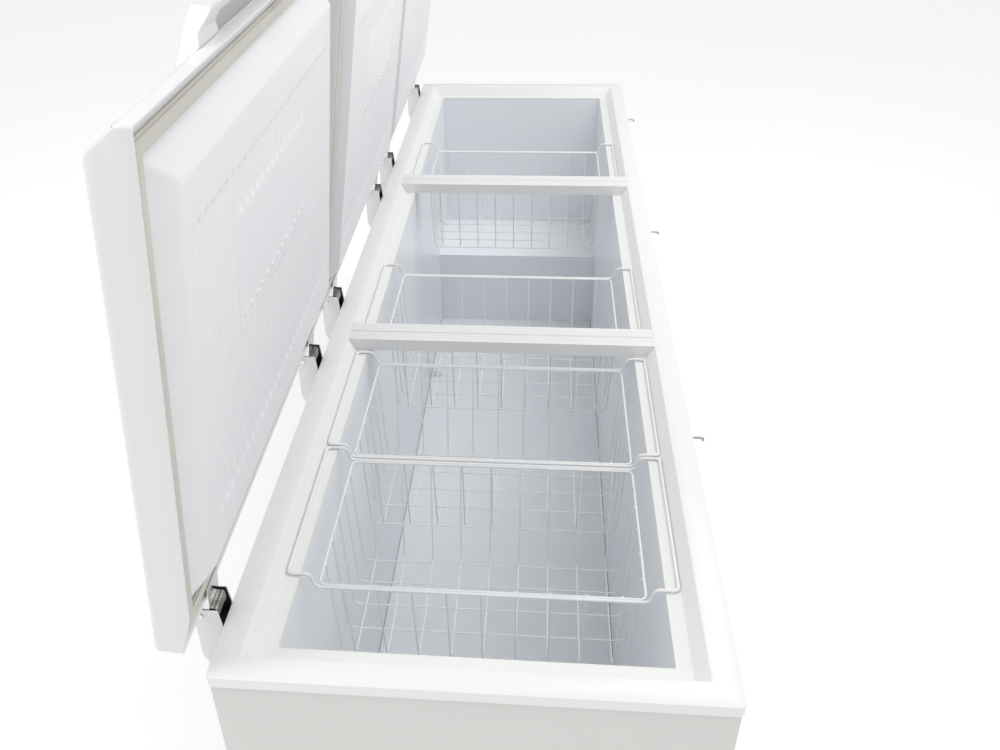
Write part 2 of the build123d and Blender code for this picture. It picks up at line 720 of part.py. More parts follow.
with BuildPart() as lock_keepers:
    for x in KEEPER_X:
        bent_tube(
            [(x, -PANEL_Y - 1, KEEPER_Z), (x, KEEPER_REACH, KEEPER_Z), (x, KEEPER_REACH, KEEPER_TIP)],
            KEEPER_WIRE,
            5,
        )
        block((x - 13, -PANEL_Y - 2, KEEPER_Z - 8), (x + 13, -PANEL_Y - SEAM, KEEPER_Z + 8))
write(lock_keepers, "lock_keepers")

# ---------------------------------------------------------------- hinges on the cabinet

HINGE_LOW = TOP - 95.0
HINGE_HIGH = TOP + 25.0
HINGE_FRONT = HALF_Y + 2.0
HINGE_X = [
    edge + side * (HINGE_INSET + 1.5)
    for low, high in zip(LID_EDGES[:-1], LID_EDGES[1:])
    for edge, side in ((low, 1), (high, -1))
]
CHEEK = HINGE_WIDTH / 2

with BuildPart() as hinge_housing:
    block((-CHEEK, HINGE_FRONT, HINGE_LOW), (CHEEK, HINGE_REAR, HINGE_HIGH))
    block((-CHEEK, PANEL_Y + SEAM, HINGE_LOW), (CHEEK, HINGE_REAR, TOP - 22))
    heel = hinge_housing.edges().filter_by(Axis.X).sort_by(lambda edge: edge.center().Y - edge.center().Z)
    fillet(heel[-1], HINGE_HEEL)
    block(
        (-CHEEK + HINGE_SHEET, 0, HINGE_LOW - 1),
        (CHEEK - HINGE_SHEET, HINGE_REAR - HINGE_SHEET, HINGE_HIGH + 1),
        Mode.SUBTRACT,
    )
    for side in (-1, 1):
        inner, outer = side * (CHEEK - HINGE_SHEET), side * (CHEEK + HINGE_EAR)
        block(
            (min(inner, outer), PANEL_Y + SEAM, HINGE_LOW + 2),
            (max(inner, outer), PANEL_Y + SEAM + HINGE_SHEET, TOP - 24),
        )
    rod(
        (-CHEEK - 1, PIVOT_Y, PIVOT_Z),
        (CHEEK + 1, PIVOT_Y, PIVOT_Z),
        PIN_RADIUS + PIN_CLEARANCE,
        Mode.SUBTRACT,
    )

with BuildPart() as hinge_housings:
    with Locations([(x, 0, 0) for x in HINGE_X]):
        add(hinge_housing.part)
write(hinge_housings, "hinge_housings")

with BuildPart() as hinge_pins:
    for x in HINGE_X:
        rod((x - CHEEK - 2.5, PIVOT_Y, PIVOT_Z), (x + CHEEK + 2.5, PIVOT_Y, PIVOT_Z), PIN_RADIUS)
        for side in (-1, 1):
            head = x + side * (CHEEK + 0.3)
            rod((head, PIVOT_Y, PIVOT_Z), (head + side * 2.2, PIVOT_Y, PIVOT_Z), PIN_RADIUS + 2)
write(hinge_pins, "hinge_pins")

COIL_MEAN = 6.2
SPRING_WIRE = 1.3
SPRING_TURNS = 8
SPRING_HALF = 14.0

with BuildPart() as hinge_spring:
    with BuildLine():
        coil = Helix(
            pitch=2 * SPRING_HALF / SPRING_TURNS,
            height=2 * SPRING_HALF,
            radius=COIL_MEAN,
            center=(-SPRING_HALF, PIVOT_Y, PIVOT_Z),
            direction=(1, 0, 0),
        )
    with BuildSketch(Plane(origin=coil @ 0, z_dir=coil % 0)):
        Circle(SPRING_WIRE)
    sweep(path=coil)

with BuildPart() as hinge_springs:
    with Locations([(x, 0, 0) for x in HINGE_X]):
        add(hinge_spring.part)
write(hinge_springs, "hinge_springs")

# ---------------------------------------------------------------- lids


def lid_outline(inset, low):
    """The lid's side outline in Y and Z above the height low, drawn in by inset."""
    front = LID_FRONT + inset
    nose = TOP + LID_NOSE + inset / 2
    high = TOP + LID_HEIGHT - inset
    start = max(0, low - nose) * LID_SLANT / (high - nose)
    outline = [
        (front + start, max(low, nose)),
        (front + LID_SLANT, high),
        (LID_REAR - inset, high),
        (LID_REAR - inset, low),
    ]
    return outline if low > nose else [(front, low)] + outline


def plug_section(x_low, x_high, inset, height, ends):
    """The lid liner's level section at a height: its sides lean, more at the outside than at a divider."""
    fall = (FLANGE - height) / (FLANGE + PLUG)
    wide, narrow = 36.5 * fall, 8.0 * fall
    low = x_low + (wide if ends[0] else narrow) + inset
    high = x_high - (wide if ends[1] else narrow) - inset
    half = HALF_Y - 46.0 - wide - inset
    with BuildSketch(Plane.XY.offset(TOP + height)) as section:
        with Locations(((low + high) / 2, 0)):
            RectangleRounded(high - low, 2 * half, 22 - inset)
    return section.sketch


def plug(x_low, x_high, inset, heights, ends, mode=Mode.ADD):
    """The tapered plug between two heights."""
    loft([plug_section(x_low, x_high, inset, height, ends) for height in heights], mode=mode)


for number in range(len(LID_OPEN)):
    angle = LID_OPEN[number]
    is_end = (number == 0, number == len(LID_OPEN) - 1)
    lid_low = LID_EDGES[number] + (0 if is_end[0] else LID_GAP)
    lid_high = LID_EDGES[number + 1] - (0 if is_end[1] else LID_GAP)
    plug_low = -HALF_X + 46.0 if is_end[0] else lid_low + 30.5
    plug_high = HALF_X - 46.0 if is_end[1] else lid_high - 30.5
    middle = (LID_EDGES[number] + LID_EDGES[number + 1]) / 2
    name = f"lid_{number + 1}"

    with BuildPart() as lid_shell:
        prism_x(lid_outline(0, TOP - LID_SKIRT), lid_low, lid_high)
        prism_x(
            lid_outline(LID_SKIN, TOP - LID_SKIRT - 1),
            lid_low + LID_SKIN,
            lid_high - LID_SKIN,
            Mode.SUBTRACT,
        )
        block(
            (
                lid_low + LID_SKIN if is_end[0] else lid_low - 1,
                LID_FRONT + LID_SKIN,
                TOP - LID_SKIRT - 1,
            ),
            (
                lid_high - LID_SKIN if is_end[1] else lid_high + 1,
                LID_REAR + 1,
                TOP + LID_RIM,
            ),
            Mode.SUBTRACT,
        )
        prism_x(
            [
                (LID_REAR - 58, TOP - LID_SKIRT - 1),
                (LID_REAR - 53, TOP - LID_SKIRT),
                (LID_REAR, TOP + LID_RIM),
                (LID_REAR + 1, TOP + LID_RIM),
                (LID_REAR + 1, TOP - LID_SKIRT - 1),
            ],
            lid_low - 1,
            lid_high + 1,
            Mode.SUBTRACT,
        )
        nose = TOP + LID_NOSE
        skirt_cuts = (
            (LID_FRONT - 1, LID_REAR + 1, nose, nose + SEAM),
            (LID_FRONT + LID_SKIN, LID_FRONT + LID_SKIN + SEAM, TOP - LID_SKIRT - 1, nose),
            (LID_REAR - LID_SKIN - SEAM, LID_REAR - LID_SKIN, TOP, nose),
        )
        for low_y, high_y, low_z, high_z in skirt_cuts:
            block((lid_low - 1, low_y, low_z), (lid_high + 1, high_y, high_z), Mode.SUBTRACT)
    write_lid_piece(lid_shell, f"{name}_shell", angle)

    with BuildPart() as lid_liner:
        inside = (lid_low + LID_SKIN + SEAM, lid_high - LID_SKIN - SEAM)
        prism_x(lid_outline(LID_SKIN + SEAM, TOP + FLANGE), *inside)
        block(
            (lid_low, LID_FRONT, TOP + FLANGE + PLUG_SKIN),
            (lid_high, LID_REAR, TOP + LID_HEIGHT),
            Mode.SUBTRACT,
        )
        plug(plug_low, plug_high, 0, (FLANGE, -PLUG), is_end)
        hollow = (FLANGE + PLUG_SKIN + 1, -PLUG + PLUG_SKIN)
        plug(plug_low, plug_high, PLUG_SKIN, hollow, is_end, Mode.SUBTRACT)
    write_lid_piece(lid_liner, f"{name}_liner", angle)

    with BuildPart() as lid_foam:
        prism_x(
            lid_outline(LID_SKIN + SEAM, TOP + FLANGE + PLUG_SKIN + SEAM),
            *inside,
        )
        filling = (FLANGE + PLUG_SKIN, -PLUG + PLUG_SKIN + SEAM)
        plug(plug_low, plug_high, PLUG_SKIN + 0.3, filling, is_end)
    write_lid_piece(lid_foam, f"{name}_foam", angle)

    with BuildPart() as lid_gasket:
        gasket_low = -HALF_X + 20 if is_end[0] else lid_low + 3
        gasket_high = HALF_X - 20 if is_end[1] else lid_high - 3
        gasket_middle = (gasket_low + gasket_high) / 2
        with BuildSketch(Plane.XY.offset(TOP + LEDGE_GAP)):
            with Locations((gasket_middle, 0)):
                RectangleRounded(gasket_high - gasket_low, DEPTH - 40, 8)
                Rectangle(
                    gasket_high - gasket_low - 2 * GASKET_WIDTH,
                    DEPTH - 40 - 2 * GASKET_WIDTH,
                    mode=Mode.SUBTRACT,
                )
        extrude(amount=FLANGE - LEDGE_GAP - SEAM)
        for x in (lid_low + HINGE_INSET, lid_high - HINGE_INSET):
            block((x - 26, 322, TOP), (x + 26, 360, TOP + LID_RIM + 0.5), Mode.SUBTRACT)
    write_lid_piece(lid_gasket, f"{name}_gasket", angle)

    with BuildPart() as lid_handle:
        pad_outline = [*SADDLE, CREST, BROW, *GRIP_FACE, (-366, TOP + 10)]
        cover_outline = [SADDLE[1], CREST, (HANDLE_SPLIT, TOP + 28.4), *COVER_UNDERSIDE]
        grip_back = HANDLE_SPLIT - SEAM
        grip_outline = [(grip_back, TOP + 28.4), BROW, *GRIP_FACE, (grip_back, TOP + 4.5)]
        prism_x(pad_outline, middle - HANDLE_HALF, middle - HANDLE_HALF + PAD)
        prism_x(pad_outline, middle + HANDLE_HALF - PAD, middle + HANDLE_HALF)
        gap_low = middle - HANDLE_HALF + PAD + SEAM
        gap_high = middle + HANDLE_HALF - PAD - SEAM
        prism_x(cover_outline, gap_low, gap_high)
        prism_x(grip_outline, gap_low, gap_high)
        lock_x = middle + LOCK_OFFSET
        rod((lock_x, LOCK_Y, TOP - 5), (lock_x, LOCK_Y, TOP + 40), LOCK_RADIUS + LEDGE_GAP, Mode.SUBTRACT)
    write_lid_piece(lid_handle, f"{name}_handle", angle)

    with BuildPart() as lid_lock:
        rod((lock_x, LOCK_Y, TOP - 36), (lock_x, LOCK_Y, TOP + 33), LOCK_RADIUS)
        rod((lock_x, LOCK_Y, TOP - 40), (lock_x, LOCK_Y, TOP - 36), 5)
        block((lock_x - 4, LOCK_Y - 22, TOP - 40), (lock_x + 4, LOCK_Y, TOP - 37))
        rod((lock_x, LOCK_Y, TOP + 33), (lock_x, LOCK_Y, TOP + 35), 11)
        block((lock_x - 0.8, LOCK_Y - 4, TOP + 31), (lock_x + 0.8, LOCK_Y + 4, TOP + 36), Mode.SUBTRACT)
    write_lid_piece(lid_lock, f"{name}_lock", angle)

    with BuildPart() as hinge_leaves:
        for x in HINGE_X[2 * number : 2 * number + 2]:
            block(
                (x - LEAF_HALF, LEAF_PLATE[0], TOP + LEDGE_GAP),
                (x + LEAF_HALF, LEAF_PLATE[1], TOP + LEDGE_GAP + LEAF_SHEET),
            )
            for side in (-1, 1):
                inner, outer = x + side * (LEAF_HALF - LEAF_SHEET), x + side * LEAF_HALF
                prism_x(LEAF_ARM, min(inner, outer), max(inner, outer))
                rod((inner, PIVOT_Y, PIVOT_Z), (outer, PIVOT_Y, PIVOT_Z), LEAF_EYE)
            rod(
                (x - CHEEK, PIVOT_Y, PIVOT_Z),
                (x + CHEEK, PIVOT_Y, PIVOT_Z),
                PIN_RADIUS + PIN_CLEARANCE,
                Mode.SUBTRACT,
            )
    write_lid_piece(hinge_leaves, f"{name}_hinge_leaves", angle)

# ---------------------------------------------------------------- baskets

END_WIRES = 9
END_PITCH = 53.0
SIDE_WIRES = 5
SIDE_PITCH = 54.0
INNER_RIM = 2.0

for number, edge in enumerate(BASKET_EDGES):
    far = edge + BASKET_LENGTH
    centre = (edge + far) / 2
    floor_low = edge + BASKET_END_TAPER
    floor_high = far - BASKET_END_TAPER
    floor_half = BASKET_HALF - BASKET_SIDE_TAPER
    wall_low = BASKET_FLOOR + 2 * THIN_WIRE + SEAM
    with BuildPart() as basket:
        hanger_z = LEDGE + LEDGE_GAP + HANGER_WIRE
        for rim_x, floor_x in ((edge, floor_low), (far, floor_high)):
            rod((rim_x, -BASKET_HALF, BASKET_RIM), (rim_x, BASKET_HALF, BASKET_RIM), HANGER_WIRE)
            for side in (-1, 1):
                foot = (rim_x, side * BASKET_HALF, BASKET_RIM)
                rod(foot, (rim_x, side * BASKET_HALF, hanger_z - HANGER_WIRE - SEAM), HANGER_WIRE)
            for i in range(END_WIRES):
                y = (i - (END_WIRES - 1) / 2) * END_PITCH
                rod((floor_x, y, wall_low), (rim_x, y, BASKET_RIM), THIN_WIRE)
        for side in (-1, 1):
            rim_y = side * (BASKET_HALF - HANGER_WIRE - INNER_RIM)
            low = (edge + HANGER_WIRE + SEAM, rim_y, BASKET_RIM)
            rod(low, (far - HANGER_WIRE - SEAM, rim_y, BASKET_RIM), INNER_RIM)
            for i in range(SIDE_WIRES):
                x = centre + (i - (SIDE_WIRES - 1) / 2) * SIDE_PITCH
                rod((x, side * floor_half, wall_low), (x, rim_y, BASKET_RIM), THIN_WIRE)
            rod((edge, side * HANGER_Y, hanger_z), (far, side * HANGER_Y, hanger_z), HANGER_WIRE)
            for x in (edge, far):
                start = (x, side * (BASKET_HALF - HANGER_WIRE), hanger_z)
                rod(start, (x, side * HANGER_Y, hanger_z), HANGER_WIRE)
        for i in range(END_WIRES):
            y = (i - (END_WIRES - 1) / 2) * END_PITCH
            rod((floor_low, y, BASKET_FLOOR), (floor_high, y, BASKET_FLOOR), THIN_WIRE)
        for i in range(SIDE_WIRES):
            x = centre + (i - (SIDE_WIRES - 1) / 2) * SIDE_PITCH
            at_z = BASKET_FLOOR - THIN_WIRE
            rod((x, -floor_half, at_z), (x, floor_half, at_z), THIN_WIRE)
    write(basket, f"basket_{number + 1}")
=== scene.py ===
"""Looks for a chest freezer with three open lids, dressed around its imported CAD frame.

Metres, +Z up, the front faces -Y. Sections are in millimetres, with heights above the top frame's flat.
"""

import json
import math

import bmesh
import bpy
from mathutils import Matrix, Vector


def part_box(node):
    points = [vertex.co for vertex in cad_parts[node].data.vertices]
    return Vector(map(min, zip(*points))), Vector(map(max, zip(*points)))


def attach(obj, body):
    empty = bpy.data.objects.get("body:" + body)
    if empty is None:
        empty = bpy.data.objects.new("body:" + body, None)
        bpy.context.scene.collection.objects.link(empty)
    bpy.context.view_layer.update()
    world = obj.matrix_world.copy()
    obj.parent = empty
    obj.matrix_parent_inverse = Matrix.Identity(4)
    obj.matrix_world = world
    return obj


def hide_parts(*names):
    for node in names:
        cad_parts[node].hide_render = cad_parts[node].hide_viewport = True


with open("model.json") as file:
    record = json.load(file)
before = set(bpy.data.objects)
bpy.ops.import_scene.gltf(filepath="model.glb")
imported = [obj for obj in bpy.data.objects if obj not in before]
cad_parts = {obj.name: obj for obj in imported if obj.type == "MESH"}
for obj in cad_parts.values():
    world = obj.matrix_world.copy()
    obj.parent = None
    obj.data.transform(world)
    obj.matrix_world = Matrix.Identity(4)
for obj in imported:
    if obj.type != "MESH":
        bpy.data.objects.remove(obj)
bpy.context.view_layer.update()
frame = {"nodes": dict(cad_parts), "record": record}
record = frame["record"]
joints = {joint["name"]: joint for joint in record["behaviour"]["joints"]}
MM = 0.001

# The cabinet's half length and half depth, and the height of its rim, from the frame
HALF_X, HALF_Y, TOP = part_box("top_frame")[1]

# ---------------------------------------------------------------- camera

CAMERA_PLACE = (-2.0799, -0.0703, 1.9015)
CAMERA_YAW = math.radians(5.813)
CAMERA_PITCH = math.radians(-33.722)
CAMERA_ROLL = math.radians(-1.63)
CAMERA_LENS = 34.085
CAMERA_SHIFT = 0.0467


def make_camera():
    """A camera at the photograph's angle, looking along the cabinet from its near end."""
    ahead = Vector((
        math.cos(CAMERA_PITCH) * math.cos(CAMERA_YAW),
        math.cos(CAMERA_PITCH) * math.sin(CAMERA_YAW),
        math.sin(CAMERA_PITCH),
    ))
    level = Vector((math.sin(CAMERA_YAW), -math.cos(CAMERA_YAW), 0))
    upright = level.cross(ahead)
    right = math.cos(CAMERA_ROLL) * level + math.sin(CAMERA_ROLL) * upright
    up = math.cos(CAMERA_ROLL) * upright - math.sin(CAMERA_ROLL) * level
    data = bpy.data.cameras.new("camera")
    data.lens = CAMERA_LENS
    data.sensor_width = 36.0
    data.shift_x = CAMERA_SHIFT
    data.clip_end = 100
    camera = bpy.data.objects.new("camera", data)
    bpy.context.scene.collection.objects.link(camera)
    camera.matrix_world = Matrix((
        (right.x, up.x, -ahead.x, CAMERA_PLACE[0]),
        (right.y, up.y, -ahead.y, CAMERA_PLACE[1]),
        (right.z, up.z, -ahead.z, CAMERA_PLACE[2]),
        (0, 0, 0, 1),
    ))
    bpy.context.scene.camera = camera


make_camera()

# ---------------------------------------------------------------- materials

COAT_ROUGHNESS = 0.08
NOISE_LOW, NOISE_HIGH = 0.3, 0.7
GLOSS_FINENESS = 6
GRAIN_DEPTH = 0.0006


def surface(name, color, roughness, metallic=0.0, coat=0.0, mottle=0.03, mottle_scale=3.0,
            rough_spread=0.08, grain=0.0, grain_scale=900.0, stretch=(1, 1, 1)):
    """A finished surface: slow colour drift, uneven gloss, and a fine grain or orange peel."""
    material = bpy.data.materials.new(name)
    material.use_nodes = True
    nodes, links = material.node_tree.nodes, material.node_tree.links
    shader = nodes["Principled BSDF"]
    shader.inputs["Metallic"].default_value = metallic
    shader.inputs["Coat Weight"].default_value = coat
    shader.inputs["Coat Roughness"].default_value = COAT_ROUGHNESS
    place = nodes.new("ShaderNodeTexCoord")
    scaling = nodes.new("ShaderNodeMapping")
    scaling.inputs["Scale"].default_value = stretch
    links.new(place.outputs["Object"], scaling.inputs["Vector"])
    drift = nodes.new("ShaderNodeTexNoise")
    drift.inputs["Scale"].default_value = mottle_scale
    drift.inputs["Detail"].default_value = 4
    links.new(scaling.outputs["Vector"], drift.inputs["Vector"])
    tint = nodes.new("ShaderNodeValToRGB")
    tint.color_ramp.elements[0].position = NOISE_LOW
    tint.color_ramp.elements[1].position = NOISE_HIGH
    tint.color_ramp.elements[0].color = (*[c * (1 - mottle) for c in color], 1)
    tint.color_ramp.elements[1].color = (*[min(1, c * (1 + mottle)) for c in color], 1)
    links.new(drift.outputs["Fac"], tint.inputs["Fac"])
    links.new(tint.outputs["Color"], shader.inputs["Base Color"])
    gloss = nodes.new("ShaderNodeTexNoise")
    gloss.inputs["Scale"].default_value = mottle_scale * GLOSS_FINENESS
    gloss.inputs["Detail"].default_value = 6
    links.new(scaling.outputs["Vector"], gloss.inputs["Vector"])
    spread = nodes.new("ShaderNodeMapRange")
    spread.inputs["From Min"].default_value = NOISE_LOW
    spread.inputs["From Max"].default_value = NOISE_HIGH
    spread.inputs["To Min"].default_value = max(0.02, roughness - rough_spread / 2)
    spread.inputs["To Max"].default_value = roughness + rough_spread / 2
    links.new(gloss.outputs["Fac"], spread.inputs["Value"])
    links.new(spread.outputs["Result"], shader.inputs["Roughness"])
    if grain:
        fine = nodes.new("ShaderNodeTexNoise")
        fine.inputs["Scale"].default_value = grain_scale
        fine.inputs["Detail"].default_value = 3
        links.new(scaling.outputs["Vector"], fine.inputs["Vector"])
        bump = nodes.new("ShaderNodeBump")
        bump.inputs["Strength"].default_value = grain
        bump.inputs["Distance"].default_value = GRAIN_DEPTH
        links.new(fine.outputs["Fac"], bump.inputs["Height"])
        links.new(bump.outputs["Normal"], shader.inputs["Normal"])
    return material


ENAMEL = surface("white_enamel", (0.79, 0.79, 0.79), 0.3, coat=0.4, mottle=0.006, rough_spread=0.03,
                 grain=0.04, grain_scale=160)
# Painted shade: the side panels are white enamel, darkened here to stand for the shade on their upright
# faces.
SHADED_SIDE_ENAMEL = surface("side_enamel_painted_shade", (0.69, 0.68, 0.662), 0.32, coat=0.3, mottle=0.006, rough_spread=0.03,
                grain=0.04, grain_scale=160)
FRAME_WHITE = surface("frame_white", (0.835, 0.835, 0.835), 0.34, coat=0.15, mottle=0.008, grain=0.05,
                      grain_scale=500)
LINER = surface("liner_coating", (0.885, 0.912, 0.942), 0.3, coat=0.2, mottle=0.008, mottle_scale=2.0,
                rough_spread=0.05, grain=0.04, grain_scale=240)
LID_INNER = surface("lid_inner_plastic", (0.835, 0.84, 0.855), 0.42, coat=0.1, mottle=0.012, grain=0.1,
                    grain_scale=700)
GASKET = surface("gasket_rubber", (0.60, 0.585, 0.53), 0.62, mottle=0.05, mottle_scale=9, grain=0.15)
HANDLE = surface("handle_plastic", (0.74, 0.745, 0.75), 0.34, coat=0.2, mottle=0.012, grain=0.1,
                 grain_scale=900)
WIRE = surface("coated_wire", (0.84, 0.845, 0.85), 0.22, coat=0.6, mottle=0.02, mottle_scale=14, grain=0.1,
               grain_scale=380)
CHROME = surface("bright_plating", (0.72, 0.72, 0.72), 0.12, metallic=1.0, mottle=0.06, mottle_scale=40,
                 rough_spread=0.1, grain=0.06)
HINGE_STEEL = surface("hinge_plate", (0.24, 0.245, 0.23), 0.26, metallic=1.0, mottle=0.4, mottle_scale=55,
                      rough_spread=0.2, grain=0.1)
STEEL = surface("bare_steel", (0.46, 0.46, 0.46), 0.34, metallic=1.0, mottle=0.1, mottle_scale=30,
                rough_spread=0.2, grain=0.2, stretch=(1, 1, 0.15))
GALVANISED = surface("galvanised_sheet", (0.5, 0.51, 0.52), 0.4, metallic=0.9, mottle=0.16, mottle_scale=22,
                     rough_spread=0.25)
# Dark plastic for the black parts; the hinge housings are also lined with it as painted shade.
DARK_PLASTIC_AND_PAINTED_SHADE = surface("dark_plastic", (0.03, 0.03, 0.033), 0.5, mottle=0.15, mottle_scale=30, grain=0.35)
GREY_PLASTIC = surface("grey_plastic", (0.30, 0.31, 0.32), 0.45, mottle=0.04, mottle_scale=25, grain=0.3)
WHITE_PLASTIC = surface("white_plastic", (0.78, 0.78, 0.77), 0.38, mottle=0.02, mottle_scale=25, grain=0.15)
RUBBER = surface("black_rubber", (0.018, 0.018, 0.018), 0.75, mottle=0.2, mottle_scale=40, grain=0.3)
COPPER = surface("copper_tube", (0.62, 0.29, 0.17), 0.3, metallic=1.0, mottle=0.14, mottle_scale=30,
                 rough_spread=0.25, grain=0.1)
FINS = surface("fin_aluminium", (0.66, 0.67, 0.68), 0.32, metallic=1.0, mottle=0.06, mottle_scale=50,
               grain=0.1)
BLACK_ENAMEL = surface("black_enamel", (0.012, 0.012, 0.013), 0.28, coat=0.4, mottle=0.15, mottle_scale=20,
                       grain=0.15, grain_scale=250)
FOAM = surface("rigid_foam", (0.72, 0.62, 0.36), 0.85, mottle=0.1, mottle_scale=60, grain=0.6,
               grain_scale=350)
LAMP = surface("lamp_lens", (0.12, 0.4, 0.14), 0.12, coat=0.5, mottle=0.05, mottle_scale=80)
# Grey for the thin lines where the liner floor meets its walls: painted shade in that corner.
PAINTED_SHADOW_LINE = surface("painted_shadow_line", (0.34, 0.35, 0.36), 0.6, mottle=0.1, mottle_scale=20, grain=0.2)
SEAL_STRIP = surface("seal_strip", (0.82, 0.81, 0.76), 0.5, mottle=0.03, mottle_scale=9, grain=0.1)

NODE_LOOKS = {
    "front_panel": SHADED_SIDE_ENAMEL, "rear_panel": SHADED_SIDE_ENAMEL, "near_end_panel": SHADED_SIDE_ENAMEL, "far_end_panel": SHADED_SIDE_ENAMEL,
    "bottom_pan": GALVANISED, "cabinet_foam": FOAM, "inner_liner": LINER, "divider_near": FRAME_WHITE,
    "divider_far": FRAME_WHITE, "feet": DARK_PLASTIC_AND_PAINTED_SHADE, "foot_pads": RUBBER, "drain_spout": WHITE_PLASTIC,
    "drain_plug": WHITE_PLASTIC, "evaporator_tube": COPPER, "compressor_mounts": RUBBER,
    "compressor": BLACK_ENAMEL, "terminal_cover": DARK_PLASTIC_AND_PAINTED_SHADE, "condenser_fins": FINS,
    "condenser_coil": COPPER,
    "fan_shroud": GALVANISED, "fan_motor": STEEL, "fan_blade": DARK_PLASTIC_AND_PAINTED_SHADE, "filter_drier": COPPER,
    "refrigerant_lines": COPPER, "vent_grille": GREY_PLASTIC, "control_panel": GREY_PLASTIC,
    "indicator_lamps": LAMP, "thermostat_body": DARK_PLASTIC_AND_PAINTED_SHADE, "thermostat_knob": WHITE_PLASTIC,
    "cable_gland": DARK_PLASTIC_AND_PAINTED_SHADE, "lock_keepers": STEEL, "hinge_pins": CHROME,
    "hinge_springs": STEEL,
}
for number in (1, 2, 3):
    NODE_LOOKS[f"lid_{number}_foam"] = FOAM
    NODE_LOOKS[f"lid_{number}_lock"] = CHROME
    NODE_LOOKS[f"lid_{number}_hinge_leaves"] = CHROME


def dress(node, material):
    """Give a carried-over CAD node its material in every slot."""
    for slot in frame["nodes"][node].material_slots:
        slot.material = material


for node, material in NODE_LOOKS.items():
    dress(node, material)

# ---------------------------------------------------------------- mesh helpers


def finish_mesh(name, points, faces, material, smooth_angle=35):
    """A mesh object from points and faces, smooth except across sharp edges."""
    mesh = bpy.data.meshes.new(name)
    mesh.from_pydata([tuple(p) for p in points], [], faces)
    mesh.materials.append(material)
    mesh.validate()
    mesh.update()
    for polygon in mesh.polygons:
        polygon.use_smooth = True
    mesh.set_sharp_from_angle(angle=math.radians(smooth_angle))
    piece = bpy.data.objects.new(name, mesh)
    bpy.context.scene.collection.objects.link(piece)
    return piece


CORNER_STEPS = 6
SIDE_STEPS = 12


def ring(x_low, x_high, y_low, y_high, radius, height):
    """Points round a rectangle with rounded corners. The height is a number or a function of x and y."""
    corners = (
        (x_high - radius, y_low + radius, -90),
        (x_high - radius, y_high - radius, 0),
        (x_low + radius, y_high - radius, 90),
        (x_low + radius, y_low + radius, 180),
    )
    arcs = []
    for x, y, start in corners:
        arc = []
        for i in range(CORNER_STEPS + 1):
            angle = math.radians(start + 90 * i / CORNER_STEPS)
            arc.append((x + radius * math.cos(angle), y + radius * math.sin(angle)))
        arcs.append(arc)
    flat = []
    for arc, following in zip(arcs, arcs[1:] + arcs[:1]):
        flat += arc
        (x0, y0), (x1, y1) = arc[-1], following[0]
        for i in range(1, SIDE_STEPS):
            share = i / SIDE_STEPS
            flat.append((x0 + (x1 - x0) * share, y0 + (y1 - y0) * share))
    return [Vector((x, y, height(x, y) if callable(height) else height)) for x, y in flat]


def banded(name, rings, material, loop=False, smooth_angle=35):
    """A surface through rings of equal count, closed on itself with loop."""
    count = len(rings[0])
    points = [p for one in rings for p in one]
    faces = []
    pairs = list(zip(range(len(rings)), range(1, len(rings))))
    if loop:
        pairs.append((len(rings) - 1, 0))
    for low, high in pairs:
        for i in range(count):
            j = (i + 1) % count
            faces.append((low * count + i, low * count + j, high * count + j, high * count + i))
    piece = finish_mesh(name, points, faces, material, smooth_angle)
    face_outwards(piece)
    return piece


def face_outwards(piece):
    """Turn a closed piece's faces outwards."""
    work = bmesh.new()
    work.from_mesh(piece.data)
    bmesh.ops.recalc_face_normals(work, faces=work.faces)
    work.to_mesh(piece.data)
    work.free()


def bevelled(piece, width, segments=3):
    """Round a piece's sharp edges."""
    modifier = piece.modifiers.new("rounded", "BEVEL")
    modifier.width = width
    modifier.segments = segments
    modifier.limit_method = "ANGLE"
    modifier.angle_limit = math.radians(40)
    modifier.harden_normals = False


def stand_for(piece, body, slot, *nodes):
    """The piece rides on a body and replaces CAD nodes."""
    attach(piece, body)
    if nodes:
        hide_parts(*nodes)


# ---------------------------------------------------------------- top frame

FRAME_PROFILE = (
    (3, -18.4), (0.6, -18.4), (0, -17.8), (0, -2.2), (0.65, -0.65), (2.2, 0), (37.4, 0), (38.9, -0.35),
    (40.2, -1.5), (54.8, -24.8), (55.8, -25.9), (57.2, -26.3), (76.2, -26.3), (77.2, -26.7), (77.6, -27.7),
    (77.6, -29.3), (54, -29.3), (37.5, -3), (3, -3),
)


def frame_corner(inset):
    """The corner radius of the top frame at a distance in from its outside, in mm."""
    return max(10 - inset, 3)


def make_top_frame():
    """The white moulded rim round the opening, with its ledge for the baskets."""
    rings = []
    for inset, drop in FRAME_PROFILE:
        x, y = HALF_X - inset * MM, HALF_Y - inset * MM
        rings.append(ring(-x, x, -y, y, frame_corner(inset) * MM, TOP + drop * MM))
    piece = banded("top_frame_rim", rings, FRAME_WHITE, loop=True, smooth_angle=28)
    stand_for(piece, "cabinet", "frame_plastic", "top_frame")


make_top_frame()

# ---------------------------------------------------------------- lids

